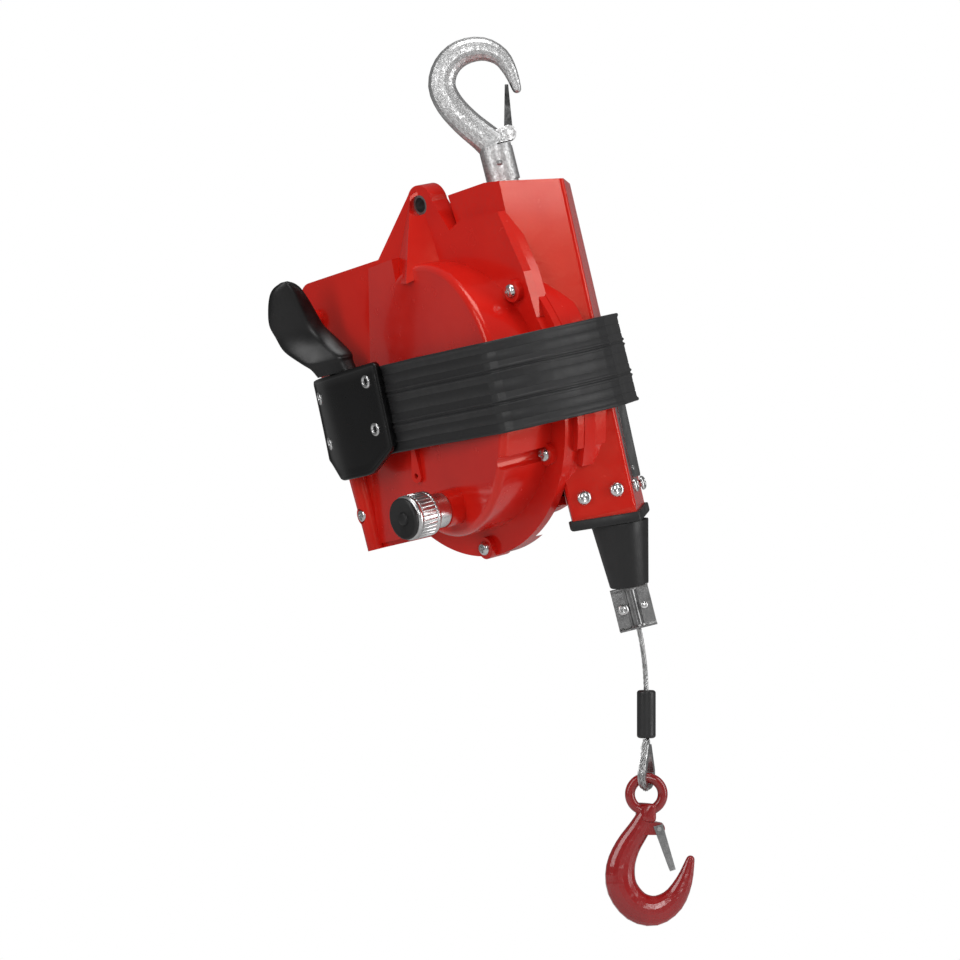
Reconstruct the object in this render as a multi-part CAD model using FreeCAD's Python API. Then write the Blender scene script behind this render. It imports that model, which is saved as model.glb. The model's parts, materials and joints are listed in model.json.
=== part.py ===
import FreeCAD, Part
import math
import os
from FreeCAD import Vector, Rotation, Placement

# Spring balancer for hand tools. Millimetres.
# Everything is drawn upright in the machine frame: the rope runs down the Z axis, the
# seat of the suspension hook is at height 0, +X runs from the drum axis to the rope,
# -Y is the front and +Z is up.
# With no tool on the rope the balancer hangs tilted, so the housing is turned by
# HANG_TILT at the end, while the load hook hangs plumb.

# ---------------------------------------------------------------- driving sizes
HANG_TILT = 14.0            # lean of the unloaded balancer, degrees
VIEW_TURN = 51.0            # plane of the two hooks, degrees round Z from the drum face

DRUM_OFFSET = 85.0          # drum axis to rope axis: the pitch radius of the drum
DRUM_DEPTH = 250.0          # hook seat down to the drum axis
HOOK_X = -28.0              # suspension hook behind the rope axis
RING_R = 127.5              # bolted flange ring
RING_AT = (-7.0, -9.0)      # its centre, from the drum axis
DOME_R = 110.0              # front and rear domes
DOME_AT = (-4.0, -5.0)
WALL = 7.0                  # casting wall

PARTING_Y = -40.0           # joint plane of the two castings
FLANGE_T = 8.0              # thickness of each flange
WING_X = 172.0              # drum axis to the square left end
WING_TOP = 120.0
WING_LEAN = 8.0             # the square end is wider at its top
WING_IN = -35.0             # right end of the square end in front of the flange
WING_BOTTOM = 110.0
WING_R = 16.0               # corner radius of the square end

SLOPE = 0.228               # rise of the slanted front face, per mm
SLOPE_DIR = Vector(0.936, 0, -0.352)    # direction of its steepest rise
SLOPE_START = Vector(-81, 0, 112)       # a point of its foot line, from the drum axis

REAR_DEPTH = 60.0           # rear dome behind the parting plane
REAR_END_R = 92.0
REAR_END_DEPTH = 80.0

TOWER_TOP = 152.0           # tower ends above and below the drum axis
TOWER_BOTTOM = 124.0
# outline of the tower: (x, half width) at its back, its shoulders and its prow edge
TOWER_HEAD = [(-52.0, 48.0), (6.2, 50.2), (42.6, 0.0)]
TOWER_FOOT = [(-27.0, 27.0), (1.9, 41.3), (31.9, 0.0)]
CHANNEL_R = 15.0            # rope channel inside the tower
CHANNEL_X = -3.0
NUT_ROOM_R = 21.0           # room of the hook nut

LUG_X = 5.8                 # safety lug, from the drum axis
LUG_Z = 151.0
LUG_R = 16.0
LUG_BUSH_R = 8.0
LUG_HOLE_R = 6.0

BAND_H = 72.0               # rubber bumper band
BAND_T = 7.0
BAND_GAP = 0.4
BAND_RIB = 2.0

ROPE_R = 2.0
RUN = 0.05                  # radial running clearance
GAP = 0.3                   # gap between parts that move past each other
AXLE_R = 10.0
BEARING_R = 16.0
BEARING_W = 8.0

CAP_T = 8.0                 # outlet cap under the tower
BUFFER_H = 53.0
BUFFER_TOP_R = 23.0
BUFFER_END_R = 15.5
CLAMP_W = 30.0
CLAMP_H = 34.0
SLEEVE_R = 7.5
SLEEVE_L = 38.0
ROPE_FREE = 50.0            # visible rope between the clamp and the sleeve
EYE_DROP = 37.0             # sleeve end down to the inside of the thimble
EYE_PLAY = 1.4              # hook eye above the foot of the thimble, at its middle
EYE_IN_R = 8.5              # inside radius of the thimble

HOOK_SEAT_R = 19.0          # bowl of the suspension hook
SHANK_R = 12.0
LOCK_Z = -90.0              # drum lock below the drum axis
LOCK_PIN_R = 5.0
LOCK_TRAVEL = 6.0
LOCK_HOLES = 16
LOCK_BOSS = 50.0            # lock boss in front of the flange
SLEEVE_RIM = 14.0
KNOB_R = 18.0
KNOB_L = 24.0
SCREW_R = 3.0               # M6 housing screws
HEAD_R = 5.6
HEAD_H = 3.6
BOSS_R = 9.0
WIRE_LUG = (-55.0, -59.0)    # small lug for a safety wire, from the drum axis
# housing screws on the flange: (x, z) from the drum axis
SCREWS = [(95.7, 63.1), (87.2, -67.3), (-13.8, -129.0), (-160.0, -80.0), (-163.0, 88.0)]

# ---------------------------------------------------------------- helpers
X, Y, Z = Vector(1, 0, 0), Vector(0, 1, 0), Vector(0, 0, 1)
DRUM = Vector(-DRUM_OFFSET, 0, -DRUM_DEPTH)
FLANGE_Y = PARTING_Y - FLANGE_T
REAR_FLANGE_Y = PARTING_Y + FLANGE_T
TOP_Z = DRUM.z + TOWER_TOP
BOTTOM_Z = DRUM.z - TOWER_BOTTOM

ACROSS = Rotation(Z, VIEW_TURN).multVec(X)          # along the hooks' faces
OUTWARD = Rotation(Z, VIEW_TURN).multVec(-Y)        # square to the hooks' faces
BOWL = Vector(0, 0, -HOOK_SEAT_R)
HANG = Rotation(OUTWARD, HANG_TILT)
HOOK_BOWL = BOWL + X * HOOK_X                       # the same point in the machine frame
HUNG = Placement(BOWL - HANG.multVec(HOOK_BOWL), HANG)
PARTS = {}
CASTINGS = []               # both castings in the upright machine frame


def keep(name, shape, hung=True):
    """File a solid, or a group of solids, turned into its hanging place."""
    shape = shape.copy()
    if hung:
        shape.Placement = HUNG.multiply(shape.Placement)
    PARTS[name] = shape


def at_drum(x, y, z):
    return Vector(DRUM.x + x, y, DRUM.z + z)


def rod(radius, start, axis, length):
    return Part.makeCylinder(radius, length, start, axis)


def ring(outer, inner, start, axis, length):
    return rod(outer, start, axis, length).cut(rod(inner, start, axis, length))


def block(x0, x1, y0, y1, z0, z1):
    return Part.makeBox(x1 - x0, y1 - y0, z1 - z0, Vector(x0, y0, z0))


def plate(points, depth):
    """A flat polygon pushed through by a vector."""
    return Part.Face(Part.makePolygon(points + points[:1])).extrude(depth)


def turned(profile, centre, axis):
    """A solid of revolution from (radius, height) points along an axis."""
    side = X if abs(axis.dot(X)) < 0.5 else Y
    points = [centre + side * r + axis * h for r, h in profile]
    face = Part.Face(Part.makePolygon(points + points[:1]))
    return face.revolve(centre, axis, 360)


def tube(path, radius):
    """A round bar along a wire."""
    edge = path.OrderedEdges[0]
    start = edge.valueAt(edge.FirstParameter)
    along = edge.tangentAt(edge.FirstParameter)
    if edge.Orientation == "Reversed":
        start = edge.valueAt(edge.LastParameter)
        along = -edge.tangentAt(edge.LastParameter)
    section = Part.Wire(Part.makeCircle(radius, start, along))
    return path.makePipeShell([section], True, False)


def rounded_run(points, share=0.45):
    """Straight runs joined by tangent arcs as large as the runs allow."""
    edges, start, radii = [], points[0], []
    for before, corner, after in zip(points, points[1:], points[2:]):
        back, ahead = (before - corner), (after - corner)
        reach = share * min(back.Length, ahead.Length)
        back.normalize()
        ahead.normalize()
        half = math.acos(max(-1.0, min(1.0, -back.dot(ahead)))) / 2
        radii.append(reach / math.tan(half))
        first, last = corner + back * reach, corner + ahead * reach
        bisector = (back + ahead).normalize()
        middle = corner + bisector * (radii[-1] / math.cos(half) - radii[-1])
        edges += [Part.LineSegment(start, first).toShape(),
                  Part.Arc(first, middle, last).toShape()]
        start = last
    edges.append(Part.LineSegment(start, points[-1]).toShape())
    return Part.Wire(edges), radii


def half_space(point, normal, size=900.0):
    """A large block on the side of a plane that the normal points to."""
    box = Part.makeBox(size, size, size, Vector(-size / 2, -size / 2, 0))
    box.Placement = Placement(point, Rotation(Z, normal))
    return box


def fuse(shapes):
    whole = shapes[0].fuse(shapes[1:]) if len(shapes) > 1 else shapes[0]
    return whole.removeSplitter()


def soften(shape, radius, wanted):
    """Round the edges that a test picks out."""
    return shape.makeFillet(radius, [e for e in shape.Edges if wanted(e)])


def between(points, count):
    """Extra stations on the smooth curve through the given ones."""
    ends = [points[0]] + list(points) + [points[-1]]
    fine = []
    for a, b, c, d in zip(ends, ends[1:], ends[2:], ends[3:]):
        for k in range(count):
            t = k / count
            fine.append([0.5 * (2 * q + (r - p) * t + (2 * p - 5 * q + 4 * r - s) * t ** 2
                                + (3 * q - p - 3 * r + s) * t ** 3)
                         for p, q, r, s in zip(a, b, c, d)])
    return fine + [list(points[-1])]


def bent_bar(stations, place, sides=18):
    """A forged bar: oval sections (x, z, width, depth) lofted along their centre line."""
    stations = between(stations, 3)
    wires = []
    for i, (x, z, width, depth) in enumerate(stations):
        before = stations[max(i - 1, 0)]
        after = stations[min(i + 1, len(stations) - 1)]
        along = Vector(after[0] - before[0], 0, after[1] - before[1]).normalize()
        across = Vector(along.z, 0, -along.x)
        turns = [2 * math.pi * k / sides for k in range(sides)]
        oval = [Vector(x, 0, z) + across * (width / 2 * math.cos(a)) + Y * (depth / 2 * math.sin(a))
                for a in turns]
        wires.append(Part.makePolygon(oval + oval[:1]))
    bar = Part.makeLoft(wires, True, True)
    bar = bar.fuse(Part.makeSphere(stations[-1][2] * 0.48, Vector(stations[-1][0], 0, stations[-1][1])))
    bar.Placement = place
    return bar


# ---------------------------------------------------------------- castings
def slanted_plane(depth):
    """The slanted front face, moved inwards by a depth."""
    normal = (-Y - SLOPE_DIR * SLOPE).normalize()
    foot = at_drum(SLOPE_START.x, FLANGE_Y, SLOPE_START.z)
    return foot - normal * depth, normal


def square_end(inset, y0, depth, right=0.0):
    """The square left end of both castings, with round corners."""
    body = plate([at_drum(inset - WING_X, y0, inset - WING_BOTTOM), at_drum(right, y0, inset - WING_BOTTOM),
                  at_drum(right, y0, WING_TOP - inset),
                  at_drum(inset - WING_X - WING_LEAN, y0, WING_TOP - inset)], Y * depth)
    return soften(body, WING_R, lambda e: e.CenterOfMass.x < DRUM.x - 140
                  and abs(e.tangentAt(0).y) > 0.9)


def flange(y0):
    """The outline that the two castings share: ring, square end, lug and tower web."""
    ring_disc = rod(RING_R, at_drum(RING_AT[0], y0, RING_AT[1]), Y, FLANGE_T)
    lug = rod(LUG_R, at_drum(LUG_X, y0, LUG_Z), Y, FLANGE_T)
    web = plate([at_drum(LUG_X - 0.7 * LUG_R, y0, LUG_Z + 0.7 * LUG_R),
                 at_drum(-64, y0, WING_TOP), at_drum(-64, y0, 60), at_drum(112, y0, 38),
                 at_drum(110, y0, 75), at_drum(97, y0, 126), at_drum(52, y0, 130),
                 at_drum(34, y0, 124), at_drum(LUG_X + LUG_R, y0, LUG_Z)], Y * FLANGE_T)
    ears = [rod(BOSS_R, at_drum(x, y0, z), Y, FLANGE_T) for x, z in SCREWS]
    return fuse([ring_disc, square_end(0, y0, FLANGE_T), lug, web] + ears)


def into_tower(x, z):
    """Screws on the tower side end in blind bosses, the others in nuts."""
    return x > 50


def gusset():
    """A three-sided rib that spreads from the lug down to the front of the dome."""
    top = [at_drum(LUG_X - 13, FLANGE_Y + 1, LUG_Z + 7), at_drum(LUG_X + 2, FLANGE_Y + 1, LUG_Z + 12),
           at_drum(LUG_X - 6, FLANGE_Y - 3, LUG_Z + 9)]
    foot = [at_drum(-52, FLANGE_Y + 1, 98), at_drum(14, FLANGE_Y + 1, 98), at_drum(-6, FLANGE_Y - 24, 92)]
    rims = [Part.makePolygon(rim + rim[:1]) for rim in (top, foot)]
    return Part.makeLoft(rims, True, True)


def front_housing():
    flange_plate = flange(FLANGE_Y)
    outline = fuse([rod(DOME_R, at_drum(DOME_AT[0], FLANGE_Y, DOME_AT[1]), -Y, 70),
                    square_end(4, FLANGE_Y - 70, 70, WING_IN),
                    square_end(24, FLANGE_Y - 70, 70)])
    foot, normal = slanted_plane(0)
    dome = outline.cut(half_space(foot, normal))
    dome = soften(dome, 5, lambda e: abs(e.CenterOfMass.y - FLANGE_Y) > 3
                  and e.CenterOfMass.x > DRUM.x - 20 and e.Length > 60)
    pieces = [flange_plate, dome]
    # gusset of the safety lug: a pyramid from the top of the lug to the dome
    pieces.append(gusset())
    # corner column of the square end, screw bosses
    pieces.append(rod(8, at_drum(-WING_X + 14, FLANGE_Y - 1, -WING_BOTTOM), Z, 70))
    for x, z in SCREWS:
        pieces.append(rod(BOSS_R, at_drum(x, FLANGE_Y, z), -Y, 5))
    # boss of the drum lock and its rib
    pieces.append(rod(SLEEVE_RIM + 1, at_drum(0, FLANGE_Y - 10, LOCK_Z), -Y, LOCK_BOSS - 10))
    # small lug for a safety wire
    lug_y = FLANGE_Y - 11
    ear = rod(6, at_drum(WIRE_LUG[0], lug_y, WIRE_LUG[1]), -Y, 12).fuse(
        plate([at_drum(WIRE_LUG[0] - 6, lug_y, WIRE_LUG[1]), at_drum(WIRE_LUG[0] + 2, lug_y, WIRE_LUG[1] + 22),
               at_drum(WIRE_LUG[0] + 6, lug_y, WIRE_LUG[1] + 22),
               at_drum(WIRE_LUG[0] + 6, lug_y, WIRE_LUG[1])], -Y * 12))
    pieces.append(ear)
    body = fuse(pieces)
    # inside
    inner_foot, _ = slanted_plane(WALL)
    middle = at_drum(DOME_AT[0], PARTING_Y, DOME_AT[1])
    cave = rod(DOME_R - WALL, middle, -Y, 70).cut(half_space(inner_foot, normal))
    body = body.cut(cave)
    body = body.cut(rod(DOME_R - WALL, middle, -Y, 4))
    body = fuse([body, rod(AXLE_R + 8, at_drum(0, FLANGE_Y - 2, 0), -Y, 18)])
    body = body.cut(rod(AXLE_R + RUN, at_drum(0, PARTING_Y, 0), -Y, 24))
    body = body.cut(rod(LOCK_PIN_R + 3 + RUN, at_drum(0, PARTING_Y, LOCK_Z), -Y, 90))
    body = body.cut(rod(2.2, at_drum(WIRE_LUG[0], 0, WIRE_LUG[1]), -Y, 90))
    body = body.cut(rod(LUG_BUSH_R, at_drum(LUG_X, 0, LUG_Z), -Y, 90))
    for x, z in SCREWS:
        body = body.cut(rod(SCREW_R + 0.3, at_drum(x, 0, z), -Y, 90))
        body = body.cut(rod(HEAD_R + 0.6, at_drum(x, FLANGE_Y - 5, z), -Y, 60))
    return body


def tower():
    """The prow-shaped rope tower, wider at its head."""
    rims = []
    for z, outline in ((BOTTOM_Z, TOWER_FOOT), (TOP_Z, TOWER_HEAD)):
        near = [Vector(x, -half, z) for x, half in outline]
        far = [Vector(x, half, z) for x, half in reversed(outline[:-1])]
        rims.append(Part.makePolygon(near + far + near[:1]))
    return Part.makeLoft(rims, True, True)


def rear_housing():
    prow = soften(tower(), 4, lambda e: abs(e.tangentAt(0).z) > 0.9 and e.CenterOfMass.x > 0)
    middle = at_drum(DOME_AT[0], PARTING_Y, DOME_AT[1])
    dome = turned([(0, 0), (DOME_R, 0), (DOME_R, REAR_DEPTH - 8), (DOME_R - 4, REAR_DEPTH),
                   (REAR_END_R, REAR_END_DEPTH - 3), (REAR_END_R - 6, REAR_END_DEPTH),
                   (0, REAR_END_DEPTH)], middle, Y)
    back_box = square_end(6, PARTING_Y, 46)
    bulge = rod(RING_R + 6, at_drum(RING_AT[0], PARTING_Y, RING_AT[1]), Y, 30)
    bulge = bulge.common(block(DRUM.x + 40, DRUM.x + 200, PARTING_Y, PARTING_Y + 30,
                               DRUM.z - 70, DRUM.z + 81))
    bosses = [rod(BOSS_R, at_drum(x, PARTING_Y, z), Y, 24) for x, z in SCREWS if into_tower(x, z)]
    body = fuse([flange(PARTING_Y), dome, back_box, bulge, prow] + bosses)
    body = body.cut(block(-400, 200, PARTING_Y - 40, PARTING_Y, -500, 0))
    # drum room, rope channel, hook bore
    room = rod(DOME_R - WALL, middle, Y, REAR_DEPTH)
    channel = rod(CHANNEL_R, Vector(CHANNEL_X, 0, BOTTOM_Z), Z, TOWER_BOTTOM + 60)
    pocket = rod(NUT_ROOM_R, Vector(HOOK_X, 0, DRUM.z + 80), Z, TOWER_TOP - 42 - 80)
    body = body.cut(fuse([room, channel, pocket]))
    hub = rod(AXLE_R + 8, at_drum(0, PARTING_Y + REAR_DEPTH - 2, 0), Y, 10)
    body = fuse([body, hub])
    body = body.cut(rod(AXLE_R + RUN, at_drum(0, PARTING_Y, 0), Y, REAR_END_DEPTH - 8))
    body = body.cut(rod(SHANK_R + RUN, Vector(HOOK_X, 0, TOP_Z - 50), Z, 60))
    body = body.cut(rod(LUG_BUSH_R, at_drum(LUG_X, PARTING_Y, LUG_Z), Y, FLANGE_T))
    for x, z in SCREWS:
        if into_tower(x, z):
            body = body.cut(rod(SCREW_R + RUN, at_drum(x, PARTING_Y - 1, z), Y, 18))
        else:
            body = body.cut(rod(SCREW_R + 0.3, at_drum(x, PARTING_Y - 1, z), Y, 30))
            body = body.cut(rod(7.4, at_drum(x, REAR_FLANGE_Y, z), Y, 60))
    for x, y, turn in cap_screw_places():
        body = body.cut(rod(SCREW_R - 0.4, Vector(x, y, BOTTOM_Z + 16), -turn, 13))
    return body


def cap_screw_places():
    """Outlet screws on the two prow faces: place on the face and its outward normal."""
    (shoulder, half), (prow_x, _) = TOWER_FOOT[1:]
    length = math.hypot(prow_x - shoulder, half)
    places = []
    for side in (-1, 1):
        along = Vector(shoulder - prow_x, side * half, 0) / length
        outward = Vector(half, side * (prow_x - shoulder), 0) / length
        for share in (0.22, 0.74):
            point = Vector(prow_x, 0, 0) + along * (length * share) + outward * 0.9
            places.append((point.x, point.y, outward))
    return places


def build_castings():
    CASTINGS.extend([front_housing(), rear_housing()])
    keep("front_housing", CASTINGS[0])
    keep("rear_housing", CASTINGS[1])
    bush_start = at_drum(LUG_X, FLANGE_Y, LUG_Z)
    keep("lug_bush", ring(LUG_BUSH_R, LUG_HOLE_R, bush_start, Y, 2 * FLANGE_T))
    screws, nuts = [], []
    for x, z in SCREWS:
        seat = at_drum(x, FLANGE_Y - 5, z)
        head = rod(HEAD_R, seat, -Y, HEAD_H)
        head = head.makeFillet(1.6, [head.Edges[0]] if head.Edges[0].CenterOfMass.y < seat.y - 1
                               else [head.Edges[2]])
        screws.append(head.fuse(rod(SCREW_R, seat, Y, 5 + 2 * FLANGE_T + 7)))
        if into_tower(x, z):
            continue
        nut = Part.Face(Part.makePolygon([at_drum(x, REAR_FLANGE_Y, z) + Vector(
            5.8 * math.cos(math.radians(60 * k)), 0, 5.8 * math.sin(math.radians(60 * k)))
            for k in range(7)])).extrude(Y * 5)
        nuts.append(nut.cut(rod(SCREW_R + RUN, at_drum(x, REAR_FLANGE_Y, z), Y, 5)))
    keep("housing_screws", Part.makeCompound(screws))
    keep("housing_nuts", Part.makeCompound(nuts))


# ---------------------------------------------------------------- outlet
def build_outlet():
    lip = 2.5
    (back, back_half), (shoulder, half), (prow_x, _) = TOWER_FOOT
    rim = [Vector(back - lip, -back_half - lip, 0), Vector(shoulder, -half - lip, 0),
           Vector(prow_x + lip, 0, 0), Vector(shoulder, half + lip, 0),
           Vector(back - lip, back_half + lip, 0)]
    cap = plate([p + Z * (BOTTOM_Z - CAP_T) for p in rim], Z * CAP_T)
    cap = soften(cap, 3, lambda e: abs(e.tangentAt(0).z) > 0.9)
    plug = rod(CHANNEL_R - GAP, Vector(CHANNEL_X, 0, BOTTOM_Z), Z, 14)
    cap = cap.fuse(plug).cut(rod(9, Vector(0, 0, BOTTOM_Z - 20), Z, 60))
    keep("outlet_cap", cap)
    keep("rope_guide", ring(9 - RUN, ROPE_R + 1.0, Vector(0, 0, BOTTOM_Z - CAP_T), Z, 24))
    top = BOTTOM_Z - CAP_T
    buffer = turned([(3.2, 0), (BUFFER_TOP_R, 0), (BUFFER_TOP_R, -4), (BUFFER_END_R, -BUFFER_H + 2),
                     (BUFFER_END_R - 2, -BUFFER_H), (3.2, -BUFFER_H)], Vector(0, 0, top), Z)
    keep("rubber_buffer", buffer)
    screws = []
    for x, y, turn in cap_screw_places():
        seat = Vector(x, y, BOTTOM_Z + 16)
        screws.append(rod(HEAD_R, seat, turn, HEAD_H - 0.6).fuse(rod(SCREW_R - 0.5, seat, -turn, 12)))
    keep("outlet_screws", Part.makeCompound(screws))


# ---------------------------------------------------------------- drum and spring
DRUM_REAR_Y = 17.0
BARREL_Y = -37.0


def build_drum():
    groove, pitch, turns = ROPE_R + 0.15, 5.0, 5
    bed = DRUM_OFFSET - ROPE_R
    front = -0.5 * pitch * (turns - 1)
    profile = [(BEARING_R + RUN, DRUM_REAR_Y - 12), (24, DRUM_REAR_Y - 12), (24, DRUM_REAR_Y - 5),
               (bed - 8, DRUM_REAR_Y - 5), (bed - 8, BARREL_Y), (bed + 11, BARREL_Y),
               (bed + 11, -17), (bed, -14), (bed, 13.5), (bed + 11, DRUM_REAR_Y - 1),
               (bed + 11, DRUM_REAR_Y), (BEARING_R + RUN, DRUM_REAR_Y)]
    body = turned(profile, at_drum(0, 0, 0), Y)
    # ring of holes for the lock pin
    for k in range(LOCK_HOLES):
        a = 2 * math.pi * k / LOCK_HOLES
        body = body.cut(rod(LOCK_PIN_R + 0.6, at_drum(LOCK_Z * math.sin(a), BARREL_Y,
                                                      LOCK_Z * math.cos(a)), Y, LOCK_TRAVEL + 3))
    keep("rope_drum", body)
    cover = ring(bed - 8.2, BEARING_R + RUN, at_drum(0, BARREL_Y, 0), Y, 3)
    cover = cover.fuse(ring(24, BEARING_R + RUN, at_drum(0, BARREL_Y, 0), Y, 9))
    keep("spring_cover", cover)
    # rope turns lying on the drum
    wraps = [ring(bed + 2 * ROPE_R, bed + RUN, at_drum(0, front + k * pitch - ROPE_R, 0), Y, 2 * ROPE_R)
             for k in range(turns)]
    wraps = [w.makeChamfer(0.8, [e for e in w.Edges if e.Curve.TypeId == "Part::GeomCircle"
                                 and e.Curve.Radius > bed + 3]) for w in wraps]
    keep("rope_turns", Part.makeCompound(wraps))
    keep("mainspring", spiral_spring(17.5, bed - 12, BARREL_Y + 11, DRUM_REAR_Y - 12.5))
    races = [ring(BEARING_R, AXLE_R + RUN, at_drum(0, y, 0), Y, BEARING_W)
             for y in (BARREL_Y + 0.5, DRUM_REAR_Y - BEARING_W - 0.5)]
    keep("drum_bearings", Part.makeCompound(races))
    axle = rod(AXLE_R, at_drum(0, -61, 0), Y, 89)
    keep("drum_axle", axle)


def spiral_spring(inner, outer, y0, y1):
    """A flat strip wound in half circles whose centres take turns."""
    strip, pitch = 1.6, 5.0
    step = pitch / 2
    count = int((outer - inner - strip) / step)
    rims = []
    for offset in (0.0, strip):
        radius, edges = inner + offset, []
        for k in range(count):
            sign = 1 if k % 2 == 0 else -1
            centre = at_drum(0, y0, 0) - X * (sign * step / 2)
            a, c = centre + X * (radius * sign), centre - X * (radius * sign)
            edges.append(Part.Arc(a, centre + Z * (radius * sign), c).toShape())
            radius += step
        rims.append(edges)
    first, second = rims
    start = Part.makeLine(first[0].Vertexes[0].Point, second[0].Vertexes[0].Point)
    finish = Part.makeLine(first[-1].Vertexes[-1].Point, second[-1].Vertexes[-1].Point)
    wire = Part.Wire(Part.sortEdges(first + [finish] + second + [start])[0])
    return Part.Face(wire).extrude(Y * (y1 - y0))


# ---------------------------------------------------------------- drum lock
def build_lock():
    seat_y = FLANGE_Y - LOCK_BOSS
    sleeve = ring(SLEEVE_RIM, LOCK_PIN_R + 3 + RUN, at_drum(0, seat_y, LOCK_Z), -Y, 14)
    keep("lock_sleeve", sleeve)
    knob_y = seat_y - 13
    knob = rod(KNOB_R, at_drum(0, knob_y, LOCK_Z), -Y, KNOB_L)
    for k in range(6):
        a = math.radians(60 * k + 30)
        knob = knob.cut(rod(2.2, at_drum((KNOB_R + 1.2) * math.cos(a), knob_y + 1,
                                         LOCK_Z + (KNOB_R + 1.2) * math.sin(a)), -Y, KNOB_L + 2))
    knob = knob.cut(rod(SLEEVE_RIM + GAP, at_drum(0, knob_y, LOCK_Z), -Y, LOCK_TRAVEL + 2.5))
    stem = rod(LOCK_PIN_R + 3, at_drum(0, knob_y - 10, LOCK_Z), Y, 50)
    pin = rod(LOCK_PIN_R, at_drum(0, BARREL_Y - GAP, LOCK_Z), -Y, 60)
    keep("lock_knob", fuse([knob, stem, pin]))
    cap = rod(KNOB_R - 1.5, at_drum(0, knob_y - KNOB_L, LOCK_Z), -Y, 3)
    cap = cap.fuse(rod(4.5, at_drum(0, knob_y - KNOB_L - 3, LOCK_Z), -Y, 0.8))
    keep("knob_cap", cap)


# ---------------------------------------------------------------- suspension
def hook_place(origin):
    return Placement(origin, Rotation(Z, VIEW_TURN))


def build_suspension():
    bowl = HOOK_BOWL
    stations = [(0, -50, 26, 24), (-7, -40, 24, 21), (-18, -25, 23, 19), (-27, -8, 22.5, 18.5),
                (-29.5, 8, 22, 18), (-22, 22, 21.5, 17.5), (-8, 29.5, 21, 17), (9, 28.5, 19, 16),
                (21.5, 19, 15, 13), (26.5, 5, 11, 10), (28, -9, 7.5, 7)]
    hook = bent_bar(stations, hook_place(bowl))
    hook = hook.fuse(rod(SHANK_R + 1.5, Vector(HOOK_X, 0, TOP_Z + 0.5), Z, -50 - HOOK_SEAT_R - TOP_Z))
    hook = hook.fuse(rod(SHANK_R, Vector(HOOK_X, 0, TOP_Z - 58), Z, 60))
    ear = Part.makeCylinder(6.2, 13, Vector(13, -6.5, -42), Y)
    ear = ear.fuse(block(-2, 13, -6.5, 6.5, -48, -37))
    ear.Placement = hook_place(bowl)
    hook = hook.fuse(ear)
    pin_hole = Part.makeCylinder(2.2 + RUN, 30, Vector(13, -15, -42), Y)
    pin_hole.Placement = hook_place(bowl)
    slot = block(6.4, 26, -4.3, 4.3, -52, -32)
    slot.Placement = hook_place(bowl)
    hook = hook.cut(pin_hole).cut(slot).removeSplitter()
    keep("top_hook", hook)
    pin = Part.makeCylinder(2.2, 15, Vector(13, -7.5, -42), Y)
    pin.Placement = hook_place(bowl)
    keep("top_latch_pin", pin)
    keep("top_latch", latch(bowl, Vector(13, 0, -42), Vector(20.8, 0, -4), 8.0, 3.6))
    spring = latch_spring(bowl, Vector(13, 0, -42))
    keep("top_latch_spring", spring)
    nut_top = TOP_Z - 42
    nut = Part.Face(Part.makePolygon([Vector(18 * math.cos(math.radians(60 * k)),
                                             18 * math.sin(math.radians(60 * k)), nut_top - 3.3)
                                      for k in range(7)])).extrude(-Z * 12)
    nut = nut.cut(rod(SHANK_R + RUN, Vector(0, 0, nut_top), -Z, 20))
    washer = ring(19, SHANK_R + RUN, Vector(0, 0, nut_top - GAP), -Z, 2.7)
    keep("hook_nut", nut.translated(X * HOOK_X))
    keep("thrust_washer", washer.translated(X * HOOK_X))


def latch(origin, pivot, tip, width, boss):
    """A pressed latch: two cheeks on the pin and a tongue to the hook's point."""
    along = (tip - pivot)
    length = along.Length
    turn = math.degrees(math.atan2(along.z, along.x))
    profile = [Vector(0, 0, -boss), Vector(length, 0, -1.4), Vector(length, 0, 1.4),
               Vector(0, 0, boss)]
    body = plate(profile, Y * width)
    body = body.fuse(Part.makeCylinder(boss, width, Vector(), Y))
    body = body.cut(plate([Vector(-boss - 1, 0, -boss - 1), Vector(length * 0.34, 0, -boss - 1),
                           Vector(length * 0.34, 0, boss + 1), Vector(-boss - 1, 0, boss + 1)],
                          Y * (width - 2.6)).translated(Y * 1.3))
    body = body.cut(Part.makeCylinder(2.2 + RUN, width + 2, Vector(0, -1, 0), Y))
    body.Placement = Placement(pivot + Y * (-width / 2), Rotation(Y, -turn))
    body.Placement = hook_place(origin).multiply(body.Placement)
    return body


def latch_spring(origin, pivot):
    coil = Part.makeCylinder(3.3, 4.4, pivot - Y * 2.2, Y).cut(
        Part.makeCylinder(2.2 + RUN, 4.4, pivot - Y * 2.2, Y))
    coil.Placement = hook_place(origin)
    return coil


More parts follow.
